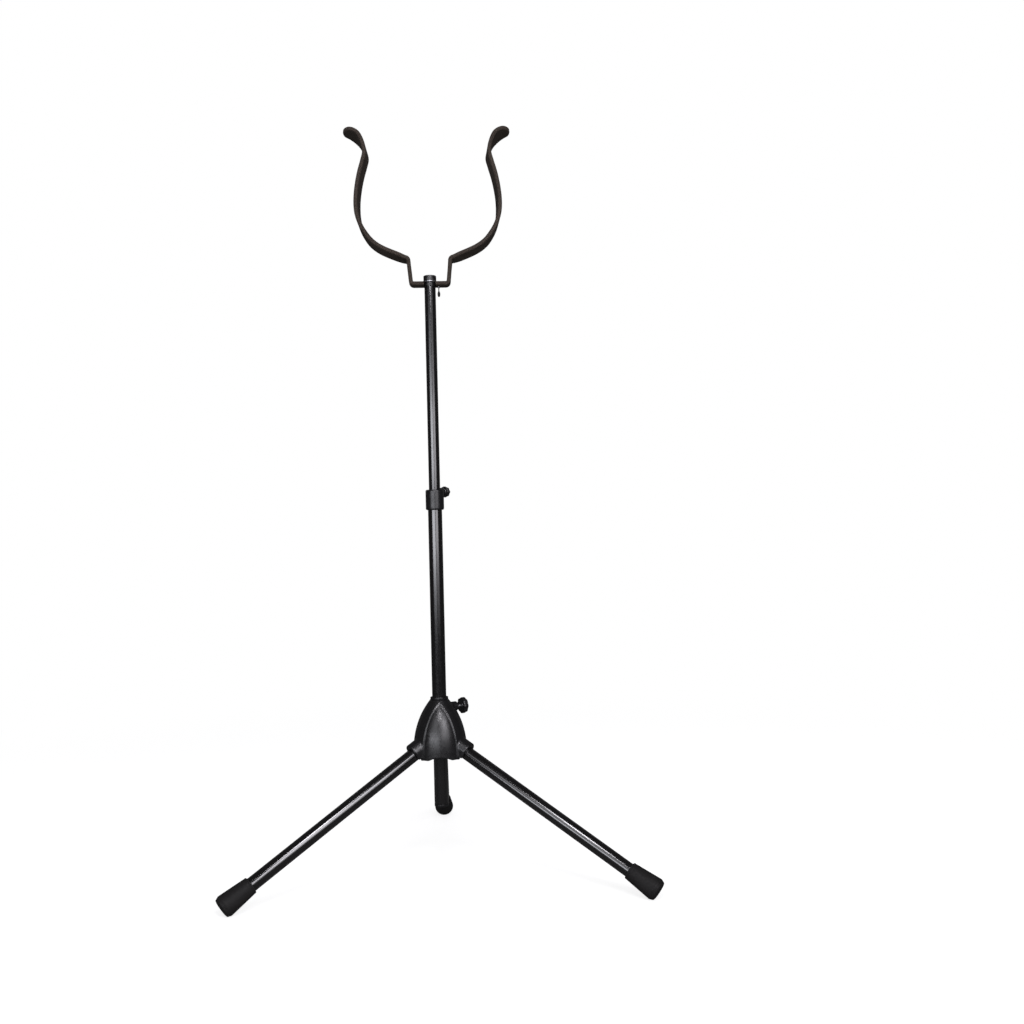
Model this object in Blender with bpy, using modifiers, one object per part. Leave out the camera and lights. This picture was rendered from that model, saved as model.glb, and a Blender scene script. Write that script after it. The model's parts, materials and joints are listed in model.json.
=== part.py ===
"""Folding violin stand: tripod hub, telescopic mast and a bent strap cradle with rubber sleeves."""
import math

import bmesh
import bpy
from mathutils import Matrix, Vector

MM = 0.001
GAP = 0.3 * MM
ROUND = 32
SMALL_ROUND = 16

# Tripod: the legs' centre lines meet on the mast's axis
LEG_AZIMUTHS = (90.0, 210.0, 330.0)
APEX_HEIGHT = 195 * MM
FOOT_RADIUS = 325 * MM
FOOT_END_HEIGHT = 10.4 * MM
PIVOT_RADIUS = 25.6 * MM
LEG_OUTER = 9.5 * MM
LEG_WALL = 1.2 * MM
LEG_TUBE_START = 16 * MM
SPIGOT_END = 44 * MM
FOOT_LENGTH = 46 * MM
FOOT_NECK = 12.0 * MM
FOOT_END = 15.2 * MM
FOOT_ROUNDING = 5.3 * MM
FOOT_SOLE = 12.8 * MM
PIN_RADIUS = 2.0 * MM
PIN_BLIND_END = 13.0 * MM
PIN_OPEN_END = 25.2 * MM
PIN_HOLE_END = 36.0 * MM
PIN_TURNS = (0.0, 0.0, 180.0)

LEG_SLOPE = math.atan2(APEX_HEIGHT - FOOT_END_HEIGHT, FOOT_RADIUS)
PIVOT_HEIGHT = APEX_HEIGHT - PIVOT_RADIUS * math.tan(LEG_SLOPE)
LEG_LENGTH = (FOOT_RADIUS - PIVOT_RADIUS) / math.cos(LEG_SLOPE)

# Knobs, their screws and the inserts that the screws turn in
SCREW_RADIUS = 2.0 * MM
INSERT_RADIUS = 3.5 * MM
KNOB_THICKNESS = 7.4 * MM
KNOB_CAP = 1.5 * MM
KNOB_LOBES = 8

# Hub
HUB_BOTTOM = 163 * MM
HUB_TOP = 244.5 * MM
HUB_NECK = 12.8 * MM
HUB_BORE = 10.3 * MM
PANEL_RADIUS = 37.2 * MM
PANEL_MARGIN = 0.3 * MM
ARCH_HALF = 19 * MM
ARCH_HEIGHT = 4.5 * MM
ARCH_START = 22 * MM
DOME_STEPS = 42
CORE_STEPS = 38
HOUSING_RADIUS = 36.3 * MM
HOUSING_HALF = 13.9 * MM
DOME_POWER = 2.5
HOOD_RADIUS = 13.5 * MM
HOOD_RISE = 2.2 * MM
HOOD_SKIRT = 6 * MM
HOOD_START = -4 * MM
HOOD_END = 21.7 * MM
HOOD_EDGE = 1.2 * MM
SLOT_FAR = 75 * MM
SLOT_BOTTOM = 128 * MM
BORE_STEPS = 24
TOP_RING_HEIGHT = 3.2 * MM
HUB_KNOB_HEIGHT = 231.5 * MM
HUB_KNOB_AZIMUTH = 30.0
HUB_KNOB_RADIUS = 11.5 * MM
HUB_KNOB_INNER = 34.7 * MM
HUB_BOSS_RADIUS = 6.9 * MM
HUB_BOSS_END = 27.7 * MM
HUB_INSERT_START = 20.3 * MM
HUB_INSERT_LENGTH = 6.9 * MM

# Mast
LOWER_OUTER = 10.0 * MM
LOWER_WALL = 1.2 * MM
LOWER_BOTTOM = 96 * MM
LOWER_TOP = 527 * MM
LOWER_PLUG_TOP = 15 * MM
UPPER_OUTER = 8.0 * MM
UPPER_WALL = 1.2 * MM
UPPER_BOTTOM = 403 * MM
BUSHING_SHANK = 17 * MM
BUSHING_LENGTH = 13 * MM

# Height collar
COLLAR_RADIUS = 13.0 * MM
COLLAR_BOTTOM = 514 * MM
COLLAR_TOP = 543 * MM
COLLAR_EDGE = 1.3 * MM
HEIGHT_KNOB_HEIGHT = 540 * MM
HEIGHT_KNOB_AZIMUTH = 65.0
HEIGHT_KNOB_RADIUS = 8.0 * MM
HEIGHT_KNOB_INNER = 28.8 * MM
LUG_START = 9.3 * MM
LUG_END = 21.9 * MM
LUG_HALF_WIDTH = 5.1 * MM
COLLAR_INSERT_START = 15 * MM
COLLAR_INSERT_LENGTH = 6.4 * MM

# Cradle: a strap in the XZ plane, its outline measured from the underside of the notch
STRAP_BOTTOM = 833 * MM
STRAP_THICKNESS = 5.7 * MM
STEEL_THICKNESS = 2.0 * MM
STRIP_GAP = 0.45 * MM
SLEEVE_WALL = 1.0 * MM
NOTCH_WIDTH = 24 * MM
ARM_WIDTH = 38.5 * MM
TIP_WIDTH = 50 * MM
TIP_ROUNDING = 24 * MM
WIDENING_LENGTH = 34 * MM
TIP_LENGTH = 54 * MM
LOW_TWIST = math.radians(2.7)
MIDDLE_TWIST = math.radians(-3.3)
TIP_TWIST = math.radians(3.0)
TWIST_START = 115 * MM
TWIST_LENGTH = 60 * MM
NOTCH_HALF_BOTTOM = 26.5 * MM
NOTCH_HALF_TOP = 29.9 * MM
NOTCH_DEPTH = 35 * MM
BEND_RADIUS = 4.8 * MM
ARM_POINTS = ((39.5, 40.9), (65.3, 51.7), (80.3, 62.0), (90.2, 75.0), (96.4, 87.5),
              (99.9, 100.0), (101.0, 113.0), (100.4, 128.0), (98.1, 144.5), (94.6, 160.5),
              (90.4, 175.0), (87.5, 188.0), (90.6, 201.0), (97.5, 212.4), (108.0, 219.2),
              (118.5, 219.9))
ARM_STEPS = 3
TIP_STEPS = 4
SLEEVE_JOINT = 0.9 * MM
SEAT_RADIUS = 7.9 * MM
WASHER_BORE = 5.6 * MM
WASHER_RADIUS = 9.8 * MM
WASHER_THICKNESS = 1.3 * MM
TOP_CAP_RADIUS = 9.1 * MM
TOP_CAP_HEAD = 7.9 * MM
CAP_STEM = 5.0 * MM
CAP_STEM_LENGTH = 20 * MM
SEAT_SHANK = 27 * MM

# Small tag that hangs under the notch
STUD_X = 12.5 * MM
STUD_RADIUS = 1.8 * MM
STUD_LENGTH = 2.8 * MM
TAG_LENGTH = 12.2 * MM
TAG_RADIUS = 2.0 * MM


def clear_scene():
    for obj in list(bpy.data.objects):
        bpy.data.objects.remove(obj, do_unlink=True)


def new_collection(name):
    collection = bpy.data.collections.new(name)
    bpy.context.scene.collection.children.link(collection)
    return collection


def material(name, colour, roughness, metallic=0.0):
    mat = bpy.data.materials.new(name)
    mat.use_nodes = True
    shader = mat.node_tree.nodes["Principled BSDF"]
    shader.inputs["Base Color"].default_value = (*colour, 1.0)
    shader.inputs["Roughness"].default_value = roughness
    shader.inputs["Metallic"].default_value = metallic
    return mat


def gloss_black_steel(name):
    return material(name, (0.012, 0.012, 0.014), 0.2, 0.3)


def satin_black_plastic(name):
    return material(name, (0.018, 0.017, 0.019), 0.42)


def black_rubber(name):
    return material(name, (0.016, 0.015, 0.015), 0.75)


def brown_rubber(name):
    return material(name, (0.04, 0.033, 0.028), 0.7)


def zinc_steel(name):
    return material(name, (0.5, 0.5, 0.52), 0.35, 1.0)


def brass(name):
    return material(name, (0.6, 0.45, 0.2), 0.35, 1.0)


def place(obj, collection, parent=None, rotation=(0, 0, 0), location=(0, 0, 0), smooth=40.0):
    """Links an object where its parent carries it, and shades its round faces smooth."""
    if obj.name not in collection.objects:
        collection.objects.link(obj)
    obj.parent = parent
    obj.location = location
    obj.rotation_euler = rotation
    obj.data.shade_smooth()
    obj.data.set_sharp_from_angle(angle=math.radians(smooth))
    return obj


def empty(name, collection, location=(0, 0, 0), rotation=(0, 0, 0), parent=None):
    obj = bpy.data.objects.new(name, None)
    collection.objects.link(obj)
    obj.location = location
    obj.rotation_euler = rotation
    obj.parent = parent
    return obj


def turned(name, profile, steps=ROUND):
    """A profile of (radius, height) from top to bottom down the outer side, turned about Z."""
    mesh = bpy.data.meshes.new(name)
    verts = [(radius, 0.0, height) for radius, height in profile]
    closed = profile[0][0] > 0 or profile[-1][0] > 0
    edges = [(i, i + 1) for i in range(len(verts) - 1)]
    if closed:
        edges.append((len(verts) - 1, 0))
    mesh.from_pydata(verts, edges, [])
    obj = bpy.data.objects.new(name, mesh)
    screw = obj.modifiers.new("turn", "SCREW")
    screw.axis = "Z"
    screw.steps = steps
    screw.render_steps = steps
    screw.use_merge_vertices = True
    screw.merge_threshold = 0.00001
    screw.use_smooth_shade = True
    return obj


def evaluated_mesh(obj, name, collection):
    """The object's mesh after its modifiers, as a new object in its place."""
    if obj.name not in collection.objects:
        collection.objects.link(obj)
    bpy.context.view_layer.update()
    graph = bpy.context.evaluated_depsgraph_get()
    mesh = bpy.data.meshes.new_from_object(obj.evaluated_get(graph))
    mesh.name = name
    work = bmesh.new()
    work.from_mesh(mesh)
    bmesh.ops.remove_doubles(work, verts=work.verts, dist=0.000001)
    bmesh.ops.recalc_face_normals(work, faces=work.faces)
    work.to_mesh(mesh)
    work.free()
    matrix = obj.matrix_world.copy()
    bpy.data.objects.remove(obj, do_unlink=True)
    result = bpy.data.objects.new(name, mesh)
    result.matrix_world = matrix
    return result


def slab(name, outline, half_width, collection, bevel=0.0):
    """An outline of (x, y) points with its thickness along Z, centred on it."""
    curve = bpy.data.curves.new(name, "CURVE")
    curve.dimensions = "2D"
    curve.fill_mode = "BOTH"
    curve.extrude = half_width
    spline = curve.splines.new("POLY")
    spline.points.add(len(outline) - 1)
    for point, (x, y) in zip(spline.points, outline):
        point.co = (x, y, 0.0, 1.0)
    spline.use_cyclic_u = True
    solid = evaluated_mesh(bpy.data.objects.new(name + "_outline", curve), name, collection)
    if bevel:
        rounding = solid.modifiers.new("edges", "BEVEL")
        rounding.width = bevel
        rounding.segments = 1
        rounding.limit_method = "ANGLE"
        rounding.angle_limit = math.radians(50)
    return solid


def plate(name, outline, half_width, collection, bevel=0.0):
    """An outline of (x, z) points with its thickness along Y, centred on it."""
    solid = slab(name, outline, half_width, collection, bevel)
    solid.data.transform(Matrix.Rotation(math.radians(90), 4, "X"))
    return solid


def rod(name, radius, length, steps=ROUND):
    """A plain cylinder along +Z from its own origin."""
    mesh = bpy.data.meshes.new(name)
    work = bmesh.new()
    bmesh.ops.create_cone(work, cap_ends=True, segments=steps, radius1=radius, radius2=radius, depth=length)
    bmesh.ops.translate(work, verts=work.verts, vec=(0, 0, length / 2))
    work.to_mesh(mesh)
    work.free()
    return bpy.data.objects.new(name, mesh)


def as_cutter(obj, cutters, parent=None, location=(0, 0, 0), rotation=(0, 0, 0)):
    if obj.name not in cutters.objects:
        cutters.objects.link(obj)
    obj.parent = parent
    obj.location = location
    obj.rotation_euler = rotation
    obj.hide_render = True
    obj.display_type = "WIRE"
    return obj


def combine(obj, other, operation):
    boolean = obj.modifiers.new(operation.lower(), "BOOLEAN")
    boolean.operation = operation
    boolean.solver = "EXACT"
    boolean.object = other


def radial(azimuth, height, radius=0.0):
    """A place and turn that send an object's own +Z outwards from the mast at this azimuth."""
    angle = math.radians(azimuth)
    location = (radius * math.cos(angle), radius * math.sin(angle), height)
    return {"location": location, "rotation": (0, math.radians(90), angle)}


def tube(name, outer, wall, bottom, top):
    inner = outer - wall
    return turned(name, ((inner, top), (outer, top), (outer, bottom), (inner, bottom)))


def arc(cx, cz, radius, start, end, count):
    """Points (x, z) of an arc, with its angles in degrees."""
    points = []
    for i in range(count + 1):
        angle = math.radians(start + (end - start) * i / count)
        points.append((cx + radius * math.cos(angle), cz + radius * math.sin(angle)))
    return points


def dome_radius(height, widest):
    share = (height - HUB_BOTTOM) / (HUB_TOP - HUB_BOTTOM)
    return HUB_NECK + (widest - HUB_NECK) * (1 - share ** DOME_POWER)


def dome_profile(widest, top, bottom, count, extra=0.0):
    """Radii of the hub's dome from top to bottom, level outside its own height."""
    profile = []
    for i in range(count + 1):
        height = top + (bottom - top) * i / count
        inside = min(max(height, HUB_BOTTOM), HUB_TOP)
        profile.append((dome_radius(inside, widest) + extra, height))
    return [(0.0, top)] + profile + [(0.0, bottom)]


def panel_recess(name, azimuth, cutters, root):
    """What lies outside one pointed panel, between the flanks of two leg housings."""
    apex = HOUSING_HALF / math.sin(math.radians(60))
    far = 60 * MM
    wedge = [(apex, 0.0), (apex + far * math.cos(math.radians(60)), far * math.sin(math.radians(60)))]
    wedge.append((wedge[1][0], -wedge[1][1]))
    middle = (HUB_TOP + HUB_BOTTOM) / 2
    solid = slab(name, wedge, 60 * MM, cutters)
    profile = dome_profile(PANEL_RADIUS, HUB_TOP + 30 * MM, HUB_BOTTOM - 30 * MM, 17, PANEL_MARGIN)
    core = turned(name + "_core", profile, CORE_STEPS)
    combine(solid, as_cutter(core, cutters, root), "DIFFERENCE")
    return as_cutter(solid, cutters, root, (0, 0, middle), (0, 0, math.radians(azimuth)))


def panel_arch(name, azimuth, cutters, root):
    """The flat arch that lifts a panel's lower edge between its two corners."""
    below = 2 * MM
    radius = (ARCH_HALF ** 2 + (ARCH_HEIGHT + below) ** 2) / (2 * (ARCH_HEIGHT + below))
    half_angle = math.degrees(math.asin(ARCH_HALF / radius))
    outline = arc(0.0, ARCH_HEIGHT - radius, radius, 90 + half_angle, 90 - half_angle, 12)
    solid = plate(name, outline, ARCH_START, cutters)
    solid.data.transform(Matrix.Translation((0, -2 * ARCH_START, 0)))
    turn = (0, 0, math.radians(azimuth + 90))
    return as_cutter(solid, cutters, root, (0, 0, HUB_BOTTOM), turn)


def along_leg(azimuth, distance):
    """A place on the open leg's centre line, with +Z outwards along it and -X upwards."""
    angle = math.radians(azimuth)
    reach = PIVOT_RADIUS + distance * math.cos(LEG_SLOPE)
    height = PIVOT_HEIGHT - distance * math.sin(LEG_SLOPE)
    location = (reach * math.cos(angle), reach * math.sin(angle), height)
    return {"location": location, "rotation": (0, math.radians(90) + LEG_SLOPE, angle)}


def leg_hood(number, azimuth, cutters, root):
    """The hood over the top of an open leg: a half round on straight skirts."""
    outline = arc(-HOOD_RISE, 0.0, HOOD_RADIUS, 90.0, 270.0, 14)
    outline += [(HOOD_SKIRT, -HOOD_RADIUS), (HOOD_SKIRT, HOOD_RADIUS)]
    half_length = (HOOD_END - HOOD_START) / 2
    hood = slab("leg_hood_%d" % number, outline, half_length, cutters, HOOD_EDGE)
    return as_cutter(hood, cutters, root, **along_leg(azimuth, HOOD_START + half_length))


def leg_bore(number):
    """The round space of an open leg: its ball end at the pivot and its tube beyond it."""
    reach = (LEG_OUTER + GAP) / math.cos(math.pi / BORE_STEPS)
    profile = [(0.0, SLOT_FAR), (reach, SLOT_FAR)] + arc(0, 0, reach, 0.0, -90.0, 7)
    profile[-1] = (0.0, -reach)
    return turned("leg_bore_%d" % number, profile, BORE_STEPS)


def slot_outline():
    """The space under the open leg's centre line that it sweeps when it folds."""
    inner = PIVOT_RADIUS - LEG_OUTER - GAP
    inner_top = PIVOT_HEIGHT + (PIVOT_RADIUS - inner) * math.tan(LEG_SLOPE)
    outer_top = PIVOT_HEIGHT - (SLOT_FAR - PIVOT_RADIUS) * math.tan(LEG_SLOPE)
    return [(inner, inner_top), (SLOT_FAR, outer_top), (SLOT_FAR, SLOT_BOTTOM), (inner, SLOT_BOTTOM)]


def leg_spot(azimuth):
    """Where a leg's pin crosses its centre line."""
    angle = math.radians(azimuth)
    return (PIVOT_RADIUS * math.cos(angle), PIVOT_RADIUS * math.sin(angle), PIVOT_HEIGHT)


def cross_hole(name, start, end):
    """A rod for a pin's hole, along -Y from one place on it to another."""
    hole = rod(name, PIN_RADIUS + GAP, end - start, SMALL_ROUND)
    hole.data.transform(Matrix.Translation((0, 0, start)))
    hole.data.transform(Matrix.Rotation(math.radians(90), 4, "X"))
    return hole


def hub_dome(parts, cutters, root):
    """The hub's body: a dome with three pointed panels set back between the leg housings."""
    corner = math.hypot(HOUSING_RADIUS, HOUSING_HALF)
    profile = dome_profile(corner, HUB_TOP, HUB_BOTTOM, 10)
    shell = place(turned("hub_shell", profile, DOME_STEPS), parts, root)
    for number, azimuth in enumerate(LEG_AZIMUTHS, 1):
        recess = panel_recess("panel_recess_%d" % number, azimuth + 180, cutters, root)
        combine(shell, recess, "DIFFERENCE")
    for number, azimuth in enumerate(LEG_AZIMUTHS, 1):
        arch = panel_arch("panel_arch_%d" % number, azimuth + 180, cutters, root)
        combine(shell, arch, "DIFFERENCE")
    for number, azimuth in enumerate(LEG_AZIMUTHS, 1):
        combine(shell, leg_hood(number, azimuth, cutters, root), "UNION")
    return shell


def cut_leg_housing(shell, number, azimuth, pin_turn, cutters, root):
    """The slot that one leg folds through, and the hole for its pin, open at a rear panel."""
    turn = (0, 0, math.radians(azimuth))
    slot = plate("leg_slot_%d" % number, slot_outline(), LEG_OUTER + GAP, cutters)
    combine(shell, as_cutter(slot, cutters, root, rotation=turn), "DIFFERENCE")
    bore = as_cutter(leg_bore(number), cutters, root, **along_leg(azimuth, 0.0))
    combine(shell, bore, "DIFFERENCE")
    hole = cross_hole("pin_hole_%d" % number, -PIN_BLIND_END - GAP, PIN_HOLE_END)
    across = (0, 0, math.radians(azimuth + pin_turn))
    combine(shell, as_cutter(hole, cutters, root, leg_spot(azimuth), across), "DIFFERENCE")


def cut_screw_seat(obj, prefix, azimuth, height, insert_start, cutters, carrier):
    """The hole for a knob's screw, and the wider one that its insert sits in."""
    hole = rod(prefix + "_screw_hole", SCREW_RADIUS + GAP, 40 * MM, SMALL_ROUND)
    combine(obj, as_cutter(hole, cutters, carrier, **radial(azimuth, height)), "DIFFERENCE")
    seat = rod(prefix + "_insert_seat", INSERT_RADIUS + GAP, 20 * MM, SMALL_ROUND + 4)
    seat_place = radial(azimuth, height, insert_start)
    combine(obj, as_cutter(seat, cutters, carrier, **seat_place), "DIFFERENCE")


def build_hub(parts, cutters, root):
    shell = hub_dome(parts, cutters, root)
    boss = rod("hub_boss", HUB_BOSS_RADIUS, HUB_BOSS_END, 24)
    boss_place = radial(HUB_KNOB_AZIMUTH, HUB_KNOB_HEIGHT)
    combine(shell, as_cutter(boss, cutters, root, **boss_place), "UNION")
    bore = rod("hub_bore", HUB_BORE, 120 * MM)
    combine(shell, as_cutter(bore, cutters, root, (0, 0, HUB_BOTTOM - 20 * MM)), "DIFFERENCE")
    for number, (azimuth, pin_turn) in enumerate(zip(LEG_AZIMUTHS, PIN_TURNS), 1):
        cut_leg_housing(shell, number, azimuth, pin_turn, cutters, root)
    cut_screw_seat(shell, "hub", HUB_KNOB_AZIMUTH, HUB_KNOB_HEIGHT, HUB_INSERT_START, cutters, root)
    shell.data.materials.append(satin_black_plastic("hub plastic"))


def build_top_ring(parts, root):
    top = HUB_TOP + TOP_RING_HEIGHT
    inner = HUB_BORE + 0.1 * MM
    outer = HUB_NECK - 0.1 * MM
    profile = ((inner, top), (outer - 0.5 * MM, top), (outer, top - 0.6 * MM), (outer, HUB_TOP + GAP),
               (inner, HUB_TOP + GAP))
    ring = place(turned("hub_top_ring", profile), parts, root)
    ring.data.materials.append(satin_black_plastic("hub ring plastic"))


def threaded_insert(name, parts, parent, spot, length):
    inner = SCREW_RADIUS + GAP
    profile = ((inner, length), (INSERT_RADIUS, length), (INSERT_RADIUS, 0.0), (inner, 0.0))
    insert = turned(name, profile, SMALL_ROUND)
    place(insert, parts, parent, spot["rotation"], spot["location"])
    insert.data.materials.append(brass(name + " brass"))


def knob_outline(radius):
    """A circle with shallow scallops for the fingers."""
    points_per_lobe = 4
    count = KNOB_LOBES * points_per_lobe
    outline = []
    for i in range(count):
        angle = 2 * math.pi * i / count
        reach = radius * (0.955 + 0.045 * math.cos(KNOB_LOBES * angle))
        outline.append((reach * math.cos(angle), reach * math.sin(angle)))
    return outline


def knob_set(prefix, parts, cutters, axis, radius, tip, inner):
    """A thumb knob and its screw, carried by an empty whose +Z runs out along the screw."""
    knob = slab(prefix + "_knob", knob_outline(radius), KNOB_THICKNESS / 2, cutters, 0.9 * MM)
    place(knob, parts, axis, location=(0, 0, inner + KNOB_THICKNESS / 2))
    hole = rod(prefix + "_knob_hole", SCREW_RADIUS + GAP, KNOB_THICKNESS, SMALL_ROUND)
    combine(knob, as_cutter(hole, cutters, axis, (0, 0, inner - KNOB_CAP)), "DIFFERENCE")
    knob.data.materials.append(satin_black_plastic(prefix + " knob plastic"))
    end = inner + KNOB_THICKNESS - KNOB_CAP - GAP
    chamfer = 0.5 * MM
    profile = ((0.0, end), (SCREW_RADIUS, end), (SCREW_RADIUS, tip + chamfer),
               (SCREW_RADIUS - chamfer, tip), (0.0, tip))
    screw = place(turned(prefix + "_screw", profile, SMALL_ROUND), parts, axis)
    screw.data.materials.append(zinc_steel(prefix + " screw steel"))


def leg_fitting(number, parts, cutters, pivot, lie):
    """The round end of a leg that turns on its pin, with a spigot into the leg's tube."""
    spigot = LEG_OUTER - LEG_WALL - GAP
    shoulder = LEG_TUBE_START - GAP
    profile = [(0.0, SPIGOT_END), (spigot - 0.8 * MM, SPIGOT_END), (spigot, SPIGOT_END - 1 * MM),
               (spigot, shoulder), (LEG_OUTER, shoulder)]
    profile += arc(0, 0, LEG_OUTER, 0.0, -90.0, 6)
    profile[-1] = (0.0, -LEG_OUTER)
    fitting = place(turned("leg_fitting_%d" % number, profile, 22), parts, pivot, lie)
    hole = cross_hole("fitting_hole_%d" % number, -15 * MM, 15 * MM)
    combine(fitting, as_cutter(hole, cutters, pivot), "DIFFERENCE")
    fitting.data.materials.append(satin_black_plastic("leg fitting %d plastic" % number))


def foot_cap(number, parts, pivot, lie, tube_end):
    """A rubber foot over the tube's end, cut level where it meets the floor."""
    bore = LEG_OUTER + GAP
    start = LEG_LENGTH - FOOT_LENGTH
    rounding = arc(FOOT_END - FOOT_ROUNDING, LEG_LENGTH - FOOT_ROUNDING, FOOT_ROUNDING, 90.0, 0.0, 5)
    neck = [(FOOT_NECK + 0.4 * MM, start + 1.0 * MM), (FOOT_NECK - 0.6 * MM, start)]
    hollow = [(bore, start), (bore, tube_end + GAP), (0.0, tube_end + GAP)]
    profile = [(0.0, LEG_LENGTH)] + rounding + neck + hollow
    foot = place(turned("foot_cap_%d" % number, profile, 26), parts, pivot, lie)
    combine(foot, bpy.data.objects["floor_cutter"], "DIFFERENCE")
    foot.data.materials.append(black_rubber("foot %d rubber" % number))


def leg_pin(number, azimuth, pin_turn, parts, root):
    chamfer = 0.4 * MM
    profile = ((0.0, PIN_OPEN_END), (PIN_RADIUS - chamfer, PIN_OPEN_END),
               (PIN_RADIUS, PIN_OPEN_END - chamfer), (PIN_RADIUS, chamfer - PIN_BLIND_END),
               (PIN_RADIUS - chamfer, -PIN_BLIND_END), (0.0, -PIN_BLIND_END))
    pin = turned("leg_pin_%d" % number, profile, SMALL_ROUND)
    across = (math.radians(90), 0, math.radians(azimuth + pin_turn))
    place(pin, parts, root, across, leg_spot(azimuth))
    pin.data.materials.append(zinc_steel("leg pin %d steel" % number))


def build_leg(number, azimuth, pin_turn, parts, cutters, empties, root):
    """One leg in its own frame: +X along the leg from the pivot, Y along the pin."""
    turn = (0, LEG_SLOPE, math.radians(azimuth))
    pivot = empty("leg_pivot_%d" % number, empties, leg_spot(azimuth), turn, root)
    lie = (0, math.radians(90), 0)
    tube_end = LEG_LENGTH - FOOT_SOLE
    leg = tube("leg_tube_%d" % number, LEG_OUTER, LEG_WALL, LEG_TUBE_START, tube_end)
    place(leg, parts, pivot, lie)
    leg.data.materials.append(gloss_black_steel("leg %d paint" % number))
    leg_fitting(number, parts, cutters, pivot, lie)
    foot_cap(number, parts, pivot, lie, tube_end)
    leg_pin(number, azimuth, pin_turn, parts, root)


def build_floor_cutter(cutters):
    mesh = bpy.data.meshes.new("floor_cutter")
    work = bmesh.new()
    bmesh.ops.create_cube(work, size=1.0)
    bmesh.ops.translate(work, verts=work.verts, vec=(0, 0, -0.5))
    work.to_mesh(mesh)
    work.free()
    return as_cutter(bpy.data.objects.new("floor_cutter", mesh), cutters)


def lower_plug(parts, carrier):
    inner = LOWER_OUTER - LOWER_WALL - GAP
    base = LOWER_BOTTOM - GAP
    top = LOWER_BOTTOM + LOWER_PLUG_TOP
    rounding = 3 * MM
    profile = [(0.0, top), (inner - 1 * MM, top), (inner, top - 1 * MM), (inner, base), (LOWER_OUTER, base)]
    profile += arc(LOWER_OUTER - rounding, base - 1 * MM, rounding, 0.0, -90.0, 5)
    profile += [(0.0, base - 1 * MM - rounding)]
    plug = place(turned("lower_tube_plug", profile, 24), parts, carrier)
    plug.data.materials.append(satin_black_plastic("plug plastic"))


def height_collar(parts, cutters, carrier):
    """The collar on the outer tube's top, with a lug for the screw."""
    step = LOWER_TOP + GAP
    wide = LOWER_OUTER + GAP
    narrow = UPPER_OUTER + GAP
    rim = COLLAR_RADIUS - COLLAR_EDGE
    profile = ((narrow, COLLAR_TOP), (rim, COLLAR_TOP), (COLLAR_RADIUS, COLLAR_TOP - COLLAR_EDGE),
               (COLLAR_RADIUS, COLLAR_BOTTOM + COLLAR_EDGE), (rim, COLLAR_BOTTOM), (wide, COLLAR_BOTTOM),
               (wide, step), (narrow, step))
    collar = place(turned("height_collar", profile), parts, carrier)
    lug_outline = ((LUG_START, -6.1 * MM), (LUG_END, -5.0 * MM), (LUG_END, 4.9 * MM),
                   (LUG_START, 6.2 * MM))
    lug = plate("collar_lug", lug_outline, LUG_HALF_WIDTH, cutters, 0.8 * MM)
    turn = (0, 0, math.radians(HEIGHT_KNOB_AZIMUTH))
    combine(collar, as_cutter(lug, cutters, carrier, (0, 0, HEIGHT_KNOB_HEIGHT), turn), "UNION")
    cut_screw_seat(collar, "collar", HEIGHT_KNOB_AZIMUTH, HEIGHT_KNOB_HEIGHT, COLLAR_INSERT_START,
                   cutters, carrier)
    collar.data.materials.append(satin_black_plastic("collar plastic"))


def build_lower_mast(parts, cutters, empties, root):
    carrier = empty("mast_slide", empties, parent=root)
    lower = tube("lower_tube", LOWER_OUTER, LOWER_WALL, LOWER_BOTTOM, LOWER_TOP)
    place(lower, parts, carrier)
    lower.data.materials.append(gloss_black_steel("lower tube paint"))
    lower_plug(parts, carrier)
    height_collar(parts, cutters, carrier)
    insert_place = radial(HEIGHT_KNOB_AZIMUTH, HEIGHT_KNOB_HEIGHT, COLLAR_INSERT_START + GAP)
    threaded_insert("collar_insert", parts, carrier, insert_place, COLLAR_INSERT_LENGTH)
    knob_place = radial(HEIGHT_KNOB_AZIMUTH, HEIGHT_KNOB_HEIGHT)
    axis = empty("height_knob_axis", empties, parent=carrier, **knob_place)
    knob_set("height", parts, cutters, axis, HEIGHT_KNOB_RADIUS, UPPER_OUTER + GAP, HEIGHT_KNOB_INNER)
    return carrier


def guide_bushing(parts, guide):
    """The bushing on the inner tube's end, which runs in the outer tube."""
    outer = LOWER_OUTER - LOWER_WALL - GAP
    inner = UPPER_OUTER - UPPER_WALL - GAP
    top = UPPER_BOTTOM + BUSHING_SHANK
    shoulder = UPPER_BOTTOM - GAP
    bottom = UPPER_BOTTOM - BUSHING_LENGTH
    profile = ((0.0, top), (inner - 1 * MM, top), (inner, top - 1 * MM), (inner, shoulder),
               (outer, shoulder), (outer, bottom + 1 * MM), (outer - 1 * MM, bottom), (0.0, bottom))
    bushing = place(turned("guide_bushing", profile, 24), parts, guide)
    bushing.data.materials.append(satin_black_plastic("bushing plastic"))


def strap_seat(parts, carrier):
    """The seat in the inner tube's end, with the neck that the strap's slot takes."""
    top = STRAP_BOTTOM + STRAP_THICKNESS
    shank = UPPER_OUTER - UPPER_WALL - GAP
    end = STRAP_BOTTOM - SEAT_SHANK
    bore = CAP_STEM + GAP
    profile = ((bore, top), (SEAT_RADIUS, top), (SEAT_RADIUS, STRAP_BOTTOM), (shank, STRAP_BOTTOM),
               (shank, end + 1 * MM), (shank - 1 * MM, end), (bore, end))
    seat = place(turned("strap_seat", profile, 28), parts, carrier)
    seat.data.materials.append(satin_black_plastic("strap seat plastic"))


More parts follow.
